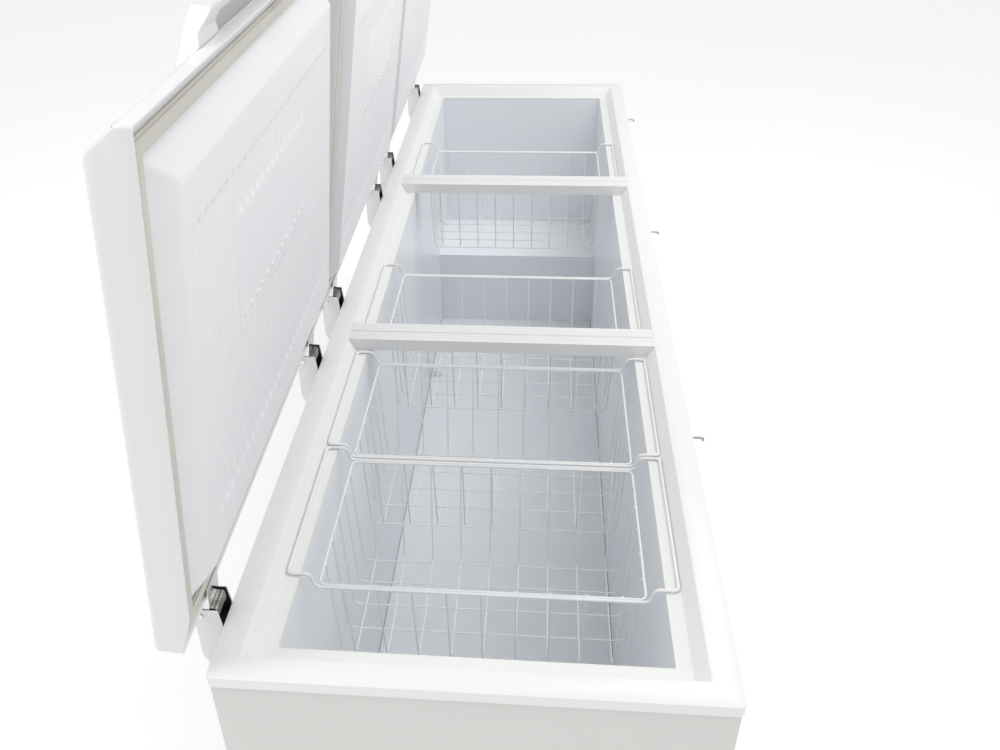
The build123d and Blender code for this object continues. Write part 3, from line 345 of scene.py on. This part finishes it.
LID_FRONT = -353.5
LID_REAR = 347.0
LID_CORNER = 5.0
SKIRT_EDGE = ((2.2, 0.5), (1.9, 0.1), (1.2, 0), (0.3, 0.3), (0, 1.2))  # inset, and height over the underside
LID_RISE = (  # distance in from the front, distance in from the other sides, height
    (0, 0, 4.6), (0.4, 0, 6.4), (1.6, 0, 8.4), (10, 0, 17.2), (20, 0, 27.8), (26, 0, 33.9),
    (30, 1.0, 37.6), (33.5, 3.0, 40.2), (37.5, 5.6, 41.6), (43, 9.0, 42.0), (60, 30, 42.0),
)
LIP_BELOW = -10.0
LIP_DEPTH = 2.3
RIM_BELOW = 2.5
END_BAND = 6.0
END_LIP_FADE = 50.0
END_LIP_START = 58.0
FLANGE = 9.0
PLUG = -19.0
PLUG_BASE_Y = 304.0
PLUG_END_MARGIN = 46.0
PLUG_SIDE_MARGIN = 30.5
LINER_CLEARANCE = 1.4
LINER_SHEET = 1.2
WIDE_SLOPE = 36.5
NARROW_SLOPE = 8.0
RIB_PITCH = 26.3
RIB_HEIGHT = 4.2
RIB_REACH = 212.0
RIB_MARGIN = 14.0
RIB_SHARPNESS = 1.5
PANEL_SHIFT = 8.0
SMOOTH_HALF = 187.0
SMOOTH_FRONT = -142.0
SMOOTH_REAR = 12.0
FADE = 12.0


class Lid:
    """A lid's place: its joint, its sides, and the transform from shut to the rest pose."""

    def __init__(self, number):
        self.number = number
        self.name = f"lid_{number}"
        joint = joints[f"{self.name}_hinge"]
        pivot = Vector(joint["pos_m"])
        angle = math.radians(-joint["range_deg"][0])
        turn = Matrix.Rotation(angle, 4, Vector(joint["axis"]))
        self.opened = Matrix.Translation(pivot) @ turn @ Matrix.Translation(-pivot)
        low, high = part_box(f"{self.name}_shell")
        self.low, self.high = low[0] / MM, high[0] / MM
        self.ends = (number == 1, number == 3)  # whether its low and its high side is a cabinet end
        self.middle = (self.low + self.high) / 2

    def place(self, piece, slot, part, *nodes):
        """Open the piece with the lid, and let it ride on it and stand for its nodes."""
        piece.data.transform(self.opened)
        stand_for(piece, self.name, slot, *[f"{self.name}_{node}" for node in (part, *nodes) if node])


def smoothstep(value):
    """An ease from 0 to 1."""
    value = min(1.0, max(0.0, value))
    return value * value * (3 - 2 * value)


def make_lid_shell(lid):
    """The lid's outer skin: a lip at the front and the cabinet's ends, a slanted nose, rounded sides."""

    def underside(extra):
        def height(x, y):
            x, y = x / MM, y / MM
            low = RIM_BELOW
            at_end = (lid.ends[0] and x < lid.low + END_BAND) or (lid.ends[1] and x > lid.high - END_BAND)
            if y < LID_FRONT + LIP_DEPTH:
                low = LIP_BELOW
            elif at_end:
                share = smoothstep((y - (LID_REAR - END_LIP_START)) / END_LIP_FADE)
                low = LIP_BELOW + (RIM_BELOW - LIP_BELOW) * share
            return TOP + (low + extra) * MM
        return height

    rings = []
    for inset, extra in SKIRT_EDGE:
        rings.append(ring(
            (lid.low + inset) * MM, (lid.high - inset) * MM,
            (LID_FRONT + inset) * MM, (LID_REAR - inset) * MM,
            LID_CORNER * MM, underside(extra),
        ))
    for front, side, height in LID_RISE:
        rings.append(ring(
            (lid.low + side) * MM, (lid.high - side) * MM,
            (LID_FRONT + front) * MM, (LID_REAR - side) * MM,
            LID_CORNER * MM, TOP + height * MM,
        ))
    top = rings[-1]
    inset = SKIRT_EDGE[0][0]
    inner = ring(
        (lid.low + inset) * MM, (lid.high - inset) * MM,
        (LID_FRONT + inset) * MM, (LID_REAR - inset) * MM,
        LID_CORNER * MM, TOP + (FLANGE + 1) * MM,
    )
    rings.insert(0, inner)
    piece = banded(f"{lid.name}_outer_skin", rings, ENAMEL, smooth_angle=40)
    cap_mesh(piece, len(rings) - 1, len(top))
    lid.place(piece, "lid_paint", "shell", "foam")


def cap_mesh(piece, index, count):
    """Close the last ring of a banded piece."""
    work = bmesh.new()
    work.from_mesh(piece.data)
    work.verts.ensure_lookup_table()
    work.faces.new([work.verts[index * count + i] for i in range(count)])
    bmesh.ops.recalc_face_normals(work, faces=work.faces)
    for face in work.faces:
        face.smooth = True
    work.to_mesh(piece.data)
    work.free()


def slope(distance, run):
    """The plug wall's height at a distance in from its foot: eased at both edges."""
    share = distance / run
    eased = 0.6 * min(1, max(0, share)) + 0.4 * smoothstep(share)
    return FLANGE + (PLUG - FLANGE) * eased


def ticks(low, high, step):
    """Even positions from low to high, no more than step apart."""
    count = max(1, math.ceil((high - low) / step))
    return [low + (high - low) * i / count for i in range(count + 1)]


def make_lid_liner(lid):
    """The lid's moulded inner face: flange, tapered plug, and long ribs broken by a smooth middle panel."""
    inside_low, inside_high = lid.low + LINER_CLEARANCE, lid.high - LINER_CLEARANCE
    foot_low = -HALF_X / MM + PLUG_END_MARGIN if lid.ends[0] else lid.low + PLUG_SIDE_MARGIN
    foot_high = HALF_X / MM - PLUG_END_MARGIN if lid.ends[1] else lid.high - PLUG_SIDE_MARGIN
    run_low = WIDE_SLOPE if lid.ends[0] else NARROW_SLOPE
    run_high = WIDE_SLOPE if lid.ends[1] else NARROW_SLOPE
    face_low, face_high = foot_low + run_low, foot_high - run_high

    def height(x, y):
        wall = max(
            slope(x - foot_low, run_low), slope(foot_high - x, run_high),
            slope(PLUG_BASE_Y - abs(y), WIDE_SLOPE),
        )
        if wall > PLUG + 0.01:
            return wall
        along = smoothstep((RIB_REACH - abs(y)) / FADE)
        across = smoothstep((min(x - face_low, face_high - x) - RIB_MARGIN) / FADE)
        broken = 1.0
        if abs(x - lid.middle - PANEL_SHIFT) < SMOOTH_HALF:
            front = smoothstep((SMOOTH_FRONT - y) / FADE)
            rear = smoothstep((y - SMOOTH_REAR) / FADE)
            broken = max(front, rear)
        wave = 0.5 + 0.5 * math.cos(2 * math.pi * (x - lid.middle) / RIB_PITCH)
        return PLUG + RIB_HEIGHT * along * across * broken * wave ** RIB_SHARPNESS

    xs = [inside_low] + ticks(foot_low - 2, face_low, 3) + ticks(face_low + 3, face_high - 3, 3.3)
    xs += ticks(face_high, foot_high + 2, 3) + [inside_high]
    bands = [
        (-352.0, -306.0, 46), (-306.0, -264.0, 3.5), (-262.0, -214.0, 24), (-212.0, -198.0, 3),
        (-196.0, -158.0, 20), (-155.0, -140.0, 3), (-138.0, 2.0, 35), (4.0, 26.0, 3), (30.0, 196.0, 40),
        (198.0, 212.0, 3), (214.0, 262.0, 24), (264.0, 306.0, 3.5), (307.0, 345.0, 38),
    ]
    ys = [y for low, high, step in bands for y in ticks(low, high, step)]
    points = [((x * MM), (y * MM), TOP + height(x, y) * MM) for y in ys for x in xs]
    width = len(xs)
    faces = []
    for row in range(len(ys) - 1):
        for column in range(width - 1):
            first = row * width + column
            faces.append((first, first + width, first + width + 1, first + 1))
    piece = finish_mesh(f"{lid.name}_inner_face", points, faces, LID_INNER, 50)
    solid = piece.modifiers.new("thickness", "SOLIDIFY")
    solid.thickness = LINER_SHEET * MM
    solid.offset = -1
    lid.place(piece, "lid_plastic", "liner")


SLOT_COUNT = 13
SLOT_PITCH = 28.5
SLOT_Y = -3.5
SLOT_HALF_X = 6.5
SLOT_HALF_Y = 2.6


def make_lid_slots(lid):
    """A row of small bright clips across the middle of the lid's inner face."""
    points, faces = [], []
    for i in range(SLOT_COUNT):
        x = lid.middle + PANEL_SHIFT + (i - (SLOT_COUNT - 1) / 2) * SLOT_PITCH
        base = len(points)
        for inset, drop in ((0, 0.3), (0, -1.0), (1.0, -1.8)):
            for sx, sy in ((-1, -1), (1, -1), (1, 1), (-1, 1)):
                points.append((
                    (x + sx * (SLOT_HALF_X - inset)) * MM,
                    (SLOT_Y + sy * (SLOT_HALF_Y - inset)) * MM,
                    TOP + (PLUG + drop) * MM,
                ))
        for layer in (0, 4):
            for k in range(4):
                n = (k + 1) % 4
                low = base + layer
                faces.append((low + k, low + 4 + k, low + 4 + n, low + n))
        faces.append(tuple(base + 8 + k for k in range(4)))
        faces.append(tuple(base + k for k in reversed(range(4))))
    piece = finish_mesh(f"{lid.name}_clips", points, faces, WHITE_PLASTIC)
    face_outwards(piece)
    lid.place(piece, "white_plastic", None)


GASKET_HALF_Y = 330.0
GASKET_END_MARGIN = 20.0
GASKET_SIDE_MARGIN = 3.0
GASKET_WIDTH = 26.0
GASKET_ROUNDING = 0.35
GASKET_PROFILE = (
    (2.5, 9), (1.6, 7.8), (4.4, 6.7), (1.2, 5.4), (4.8, 4.2), (4.6, 2.6), (6.4, 1.0), (8.6, 0.4),
    (17.6, 0.4), (19.8, 1.0), (21.4, 2.4), (19.4, 4.0), (23.4, 5.4), (20.8, 6.8), (23.4, 7.8), (22.6, 9),
)


def make_gasket(lid):
    """The lid's soft magnetic gasket: a folded profile carried round the plug."""
    low = -HALF_X / MM + GASKET_END_MARGIN if lid.ends[0] else lid.low + GASKET_SIDE_MARGIN
    high = HALF_X / MM - GASKET_END_MARGIN if lid.ends[1] else lid.high - GASKET_SIDE_MARGIN
    rings = []
    for inset, height in GASKET_PROFILE:
        rings.append(ring(
            (low + inset) * MM, (high - inset) * MM,
            (inset - GASKET_HALF_Y) * MM, (GASKET_HALF_Y - inset) * MM,
            (GASKET_WIDTH - inset) * GASKET_ROUNDING * MM, TOP + height * MM,
        ))
    piece = banded(f"{lid.name}_seal", rings, GASKET, loop=True, smooth_angle=50)
    lid.place(piece, "gasket_rubber", "gasket")


PAD_SECTION = ((-353.7, 6.2), (-329.3, 32.1), (-333, 36), (-384, 27.2), (-389.5, 24), (-391.5, 19),
               (-391.5, 2), (-390, 0), (-386, 0.6), (-366, 10))
COVER_SECTION = ((-329.3, 32.1), (-333, 36), (-377, 28.4), (-377, 22), (-338.8, 22))
GRIP_SECTION = ((-377.1, 28.4), (-384, 27.2), (-389.5, 24), (-391.5, 19), (-391.5, 2), (-390, 0),
                (-386, 0.6), (-377.1, 4.5))
HANDLE_HALF = 200.0
HANDLE_PAD = 75.0
HANDLE_SKEW = 0.9


def make_handle(lid):
    """The lid's front handle: two slant-ended pads, a cover and a grip with a hand recess behind it."""

    def skewed(x, y, outer):
        """Draw an outer end in towards the tip of the handle."""
        return x - outer * max(0, LID_FRONT - y) * HANDLE_SKEW

    points, faces = [], []
    spans = (
        (PAD_SECTION, -HANDLE_HALF, -HANDLE_HALF + HANDLE_PAD, -1, 0),
        (PAD_SECTION, HANDLE_HALF - HANDLE_PAD, HANDLE_HALF, 0, 1),
        (COVER_SECTION, -HANDLE_HALF + HANDLE_PAD, HANDLE_HALF - HANDLE_PAD, 0, 0),
        (GRIP_SECTION, -HANDLE_HALF + HANDLE_PAD, HANDLE_HALF - HANDLE_PAD, 0, 0),
    )
    for section, low, high, skew_low, skew_high in spans:
        base, count = len(points), len(section)
        for x, skew in ((low, skew_low), (high, skew_high)):
            for y, z in section:
                points.append(((lid.middle + skewed(x, y, skew)) * MM, y * MM, TOP + z * MM))
        faces.append(tuple(base + i for i in range(count)))
        faces.append(tuple(base + count + i for i in reversed(range(count))))
        for i in range(count):
            j = (i + 1) % count
            faces.append((base + i, base + count + i, base + count + j, base + j))
    piece = finish_mesh(f"{lid.name}_grip", points, faces, HANDLE)
    face_outwards(piece)
    bevelled(piece, 1.6 * MM)
    lid.place(piece, "handle_plastic", "handle")


for number in (1, 2, 3):
    lid = Lid(number)
    make_lid_shell(lid)
    make_lid_liner(lid)
    make_lid_slots(lid)
    make_gasket(lid)
    make_handle(lid)

# ---------------------------------------------------------------- hinges

HINGE_HALF = 24.0
HINGE_SKIN = 1.5
HINGE_BOTTOM = -95.0
HEEL = 34.0
HEEL_STEPS = 8
EAR_REACH = 14.0
PANEL_BACK = 346.1
HINGE_BACK = 391.0
HINGE_TOP = 25.0
LEAF_HALF = 22.0
SCREW_HEIGHTS = (-78.0, -40.0)
COVER_HALF = 18.0
COVER_SECTION_OPEN = (
    (356.6, 9.0), (357.1, 19.5), (358.2, 21.8), (360.8, 23.0), (366.0, 23.5), (374.0, 23.6), (381.0, 23.3),
    (386.5, 21.4), (386.2, 20.8), (381.0, 22.7), (374.0, 23.0), (366.0, 22.9), (361.1, 22.4), (358.8, 21.3),
    (357.8, 19.4), (357.3, 9.0),
)


def add_prism(points, faces, section, x_low, x_high):
    """A prism along X, with its outline given as (y, z) in mm and z above the top frame's flat."""
    base, count = len(points), len(section)
    for x in (x_low, x_high):
        points.extend((x * MM, y * MM, TOP + z * MM) for y, z in section)
    faces.append(tuple(base + i for i in range(count)))
    faces.append(tuple(base + count + i for i in reversed(range(count))))
    for i in range(count):
        j = (i + 1) % count
        faces.append((base + i, base + count + i, base + count + j, base + j))


def joined(name, prisms, material, slot, width=0.0, nodes=(), body="cabinet"):
    """One piece made of prisms, each a section with its two X limits."""
    points, faces = [], []
    for section, x_low, x_high in prisms:
        add_prism(points, faces, section, x_low, x_high)
    piece = finish_mesh(name, points, faces, material)
    face_outwards(piece)
    if width:
        bevelled(piece, width * MM, 2)
    stand_for(piece, body, slot, *nodes)
    return piece


def heel_arc(inset):
    """The housing's lower rear curve, from the underside to the back, drawn in by inset."""
    arc = []
    for i in range(HEEL_STEPS + 1):
        angle = math.radians(-90 + 90 * i / HEEL_STEPS)
        arc.append((
            HINGE_BACK - HEEL + (HEEL - inset) * math.cos(angle),
            HINGE_BOTTOM + HEEL + (HEEL - inset) * math.sin(angle),
        ))
    return arc


def strip(outer, inner):
    """A closed section between two open outlines."""
    return outer + list(reversed(inner))


def make_hinges():
    """Painted hinge housings with thin dark sheets inside as painted shade, fixing ears with screws, and
    plated spring covers.
    """
    centres = []
    for number in (1, 2, 3):
        leaf_low, leaf_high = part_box(f"lid_{number}_hinge_leaves")
        centres += [leaf_low[0] / MM + LEAF_HALF, leaf_high[0] / MM - LEAF_HALF]
    cheek = [(PANEL_BACK, HINGE_BOTTOM)] + heel_arc(0) + [
        (HINGE_BACK, HINGE_TOP - 0.2), (355.0, HINGE_TOP - 0.2), (352.2, -1.0), (352.2, -22.0),
        (PANEL_BACK, -22.0),
    ]
    back = strip([(PANEL_BACK, HINGE_BOTTOM)] + heel_arc(0) + [(HINGE_BACK, HINGE_TOP - 0.2)],
                 [(PANEL_BACK, HINGE_BOTTOM + HINGE_SKIN)] + heel_arc(HINGE_SKIN)
                 + [(HINGE_BACK - HINGE_SKIN, HINGE_TOP - 0.2)])
    ear = [(PANEL_BACK, -93.0), (PANEL_BACK + HINGE_SKIN, -93.0), (PANEL_BACK + HINGE_SKIN, -24.0),
           (PANEL_BACK, -24.0)]
    # Thin dark sheets just inside the cheeks, back and floor: painted shade in the housing's open channel.
    inner_cheek = [(355.5, -60.0), (388.6, -60.0), (388.6, HINGE_TOP - 1.0), (356.4, HINGE_TOP - 1.0),
                   (353.6, -1.0)]
    inner_back = [(388.9, -60.0), (389.3, -60.0), (389.3, HINGE_TOP - 1.0), (388.9, HINGE_TOP - 1.0)]
    inner_floor = [(352.5, -24.0), (388.6, -24.0), (388.6, -23.6), (352.5, -23.6)]
    shells, shade_sheets, screws = [], [], []
    for x in centres:
        for side in (-1, 1):
            outer, inner = x + side * HINGE_HALF, x + side * (HINGE_HALF - HINGE_SKIN)
            shells.append((cheek, min(outer, inner), max(outer, inner)))
            tip = x + side * (HINGE_HALF + EAR_REACH)
            shells.append((ear, min(outer, tip), max(outer, tip)))
            face = inner - side * 0.1
            shade_sheets.append((inner_cheek, min(face, face - side * 0.3), max(face, face - side * 0.3)))
            middle = (outer + tip) / 2
            for z in SCREW_HEIGHTS:
                head = [(PANEL_BACK + HINGE_SKIN, z - 3.4), (PANEL_BACK + HINGE_SKIN + 1.6, z - 2.2),
                        (PANEL_BACK + HINGE_SKIN + 1.6, z + 2.2), (PANEL_BACK + HINGE_SKIN, z + 3.4)]
                screws.append((head, middle - 3.0, middle + 3.0))
        shells.append((back, x - HINGE_HALF + HINGE_SKIN, x + HINGE_HALF - HINGE_SKIN))
        shade_sheets.append((inner_back, x - LEAF_HALF, x + LEAF_HALF))
        shade_sheets.append((inner_floor, x - LEAF_HALF, x + LEAF_HALF))
    joined("hinge_shells", shells, ENAMEL, "hinge_paint", 0.35, ("hinge_housings",))
    joined("hinge_painted_shade_sheets", shade_sheets, DARK_PLASTIC_AND_PAINTED_SHADE, "dark_plastic")
    for number in (1, 2, 3):
        pair = centres[2 * number - 2:2 * number]
        covers = [(COVER_SECTION_OPEN, x - COVER_HALF, x + COVER_HALF) for x in pair]
        joined(f"lid_{number}_spring_covers", covers, HINGE_STEEL, "chromed_steel", body=f"lid_{number}")
    joined("hinge_screws", screws, STEEL, "bare_steel", 0.9)


make_hinges()

# ---------------------------------------------------------------- seams and painted shade lines inside the cabinet

STRIP_PROFILE = (
    (76.4, -26.6), (76.6, -26.1), (78.0, -26.1), (78.2, -26.6), (78.2, -31.5), (77.7, -31.5), (76.4, -27.2),
)
# The liner's inside in the CAD model: half its width, its floor's height, and its floor's two ends
LINER_INNER = 272.0
LINER_FLOOR = 135.0
STEP_FACE = 926.0
LINER_END = -1222.0
BEAD = 1.7


def make_liner_trim():
    """The pale strip where the liner meets the frame's ledge, and thin grey beads along the liner floor's
    corners as painted shade.
    """
    rings = []
    for inset, drop in STRIP_PROFILE:
        x, y = HALF_X - inset * MM, HALF_Y - inset * MM
        rings.append(ring(-x, x, -y, y, 3 * MM, TOP + drop * MM))
    piece = banded("liner_seal_strip", rings, SEAL_STRIP, loop=True, smooth_angle=40)
    stand_for(piece, "cabinet", "frame_plastic")
    base = LINER_FLOOR - TOP / MM
    shadow_line_strips = []
    for side in (-1, 1):
        wall = side * LINER_INNER
        shadow_line_strip = [(wall, base), (wall - side * BEAD, base), (wall - side * BEAD * 0.4, base + BEAD * 0.4),
                (wall, base + BEAD)]
        shadow_line_strips.append((shadow_line_strip, LINER_END, STEP_FACE))
    joined("liner_floor_shadow_lines", shadow_line_strips, PAINTED_SHADOW_LINE, "liner_sheet")


make_liner_trim()

# ---------------------------------------------------------------- baskets

BEND_STEPS = 7


def rounded_path(points, radii, closed=False):
    """Points along straight runs with round bends of the given radii."""
    path = []
    count = len(points)
    for i in range(count):
        here = Vector(points[i])
        if not closed and i in (0, count - 1):
            path.append(here)
            continue
        before, after = Vector(points[i - 1]), Vector(points[(i + 1) % count])
        arrive, leave = (here - before).normalized(), (after - here).normalized()
        turn = arrive.angle(leave)
        radius = radii[i]
        reach = min(radius * math.tan(turn / 2), (here - before).length * 0.49, (after - here).length * 0.49)
        for k in range(BEND_STEPS + 1):
            share = k / BEND_STEPS
            first, last = here - arrive * reach, here + leave * reach
            path.append(first.lerp(here, share).lerp(here.lerp(last, share), share))
    return path


def wires(name, paths, thickness, material):
    """Round wires along paths, each with its own share of the thickness."""
    data = bpy.data.curves.new(name, "CURVE")
    data.dimensions = "3D"
    data.bevel_depth = thickness
    data.bevel_resolution = 3
    data.use_fill_caps = True
    for path, share, closed in paths:
        spline = data.splines.new("POLY")
        spline.points.add(len(path) - 1)
        for point, place in zip(spline.points, path):
            point.co = (*place, 1)
            point.radius = share
        spline.use_cyclic_u = closed
        spline.use_smooth = True
    data.materials.append(material)
    piece = bpy.data.objects.new(name, data)
    bpy.context.scene.collection.objects.link(piece)
    return piece


THIN = 1.35
THICK = 2.75
RIM_WIRE = 2.1
RIM_DROP = 26.75
RIM_HALF_Y = 252
RIM_CORNER = 11
RIM_OVERLAP = 1.5
WIRE_GAP = 2.6
WIRE_BEND = 16
END_TAPER = 34
SIDE_TAPER = 9
END_WIRES = 9
END_PITCH = 53.0
SIDE_WIRES = 5
SIDE_PITCH = 54.0


def make_basket(number):
    """A lift-out basket: a bent hanger wire, a rim wire beside it, and U-shaped wires both ways."""
    low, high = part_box(f"basket_{number}")
    near, far = low[0] + THICK * MM, high[0] - THICK * MM
    hang_y = high[1] - THICK * MM
    hang_z = high[2] - THICK * MM
    rim_z = hang_z - RIM_DROP * MM
    rim_y = RIM_HALF_Y * MM
    floor_z = low[2] + 1.4 * MM
    paths = []
    loop, radii = [], []
    for side, start, end in ((1, near, far), (-1, far, near)):
        climb = ((rim_y - 2 * MM, rim_z, 12), (rim_y + 6 * MM, hang_z, 10), (hang_y, hang_z, 9))
        hanger = [(start, *bend) for bend in climb] + [(end, *bend) for bend in reversed(climb)]
        for x, y, z, radius in hanger:
            loop.append((x, side * y, z))
            radii.append(radius * MM)
    paths.append((rounded_path(loop, radii, True), THICK / THIN, True))
    inner_low, inner_high = near + 5.2 * MM, far - 5.2 * MM
    inner_y = rim_y - 5.5 * MM
    corners = [(inner_low, -inner_y, rim_z), (inner_high, -inner_y, rim_z), (inner_high, inner_y, rim_z),
               (inner_low, inner_y, rim_z)]
    paths.append((rounded_path(corners, [RIM_CORNER * MM] * 4, True), RIM_WIRE / THIN, True))
    top = rim_z + RIM_OVERLAP * MM
    start, end = inner_low + WIRE_GAP * MM, inner_high - WIRE_GAP * MM
    taper = END_TAPER * MM
    upper_z = floor_z + 2 * THIN * MM
    bends = [0, WIRE_BEND * MM, WIRE_BEND * MM, 0]
    for i in range(END_WIRES):
        y = (i - (END_WIRES - 1) / 2) * END_PITCH * MM
        outline = [(start, y, top), (start + taper, y, upper_z), (end - taper, y, upper_z), (end, y, top)]
        paths.append((rounded_path(outline, bends), 1.0, False))
    middle = (near + far) / 2
    for i in range(SIDE_WIRES):
        x = middle + (i - (SIDE_WIRES - 1) / 2) * SIDE_PITCH * MM
        edge = inner_y - WIRE_GAP * MM
        foot = edge - SIDE_TAPER * MM
        outline = [(x, -edge, top), (x, -foot, floor_z), (x, foot, floor_z), (x, edge, top)]
        paths.append((rounded_path(outline, bends), 1.0, False))
    piece = wires(f"basket_{number}_wires", paths, THIN * MM, WIRE)
    stand_for(piece, f"basket_{number}", "basket_wire", f"basket_{number}")


for number in (1, 2, 3, 4):
    make_basket(number)

# ---------------------------------------------------------------- stage

WORLD = 0.63
FLOOR_REACH = 14
FLOOR_GLOW = 0.16


def make_floor():
    """A plain pale floor."""
    reach = FLOOR_REACH
    points = [(-reach, -reach, 0), (reach, -reach, 0), (reach, reach, 0), (-reach, reach, 0)]
    material = surface("studio_floor", (0.92, 0.92, 0.92), 0.8, mottle=0.004, mottle_scale=0.6)
    shader = material.node_tree.nodes["Principled BSDF"]
    shader.inputs["Emission Color"].default_value = (1, 1, 1, 1)
    shader.inputs["Emission Strength"].default_value = FLOOR_GLOW
    floor = finish_mesh("floor", points, [(0, 1, 2, 3)], material)


def make_light(name, place, target, size, power):
    """A large soft studio light."""
    data = bpy.data.lights.new(name, "AREA")
    data.shape = "RECTANGLE"
    data.size, data.size_y = size
    data.energy = power
    light = bpy.data.objects.new(name, data)
    light.location = place
    light.rotation_euler = (Vector(target) - Vector(place)).to_track_quat("-Z", "Y").to_euler()
    bpy.context.scene.collection.objects.link(light)


def make_sun(name, coming_from, spread, strength):
    """A broad, even light from a direction, as from a large overhead softbox."""
    data = bpy.data.lights.new(name, "SUN")
    data.energy = strength
    data.angle = math.radians(spread)
    light = bpy.data.objects.new(name, data)
    light.rotation_euler = Vector(coming_from).to_track_quat("Z", "Y").to_euler()
    bpy.context.scene.collection.objects.link(light)


def make_world():
    """An even white surround."""
    world = bpy.data.worlds.new("studio")
    world.use_nodes = True
    background = world.node_tree.nodes["Background"]
    background.inputs["Color"].default_value = (1, 1, 1, 1)
    background.inputs["Strength"].default_value = WORLD
    bpy.context.scene.world = world


make_floor()
make_world()
make_sun("overhead", (-0.1, -0.8, 1), spread=70, strength=0.72)
make_light("near_key", (-1.95, 1.5, 3.2), (-1.3, 0.1, 1.0), size=(1.0, 1.0), power=20)
make_light("rear_key", (0.0, 2.4, 4.0), (0.0, -0.3, 0.6), size=(3.6, 1.2), power=21)
make_light("far_key", (0.5, -0.9, 2.9), (0.8, 0.0, 0.7), size=(1.8, 1.2), power=17)
bpy.context.scene.view_settings.view_transform = "Standard"
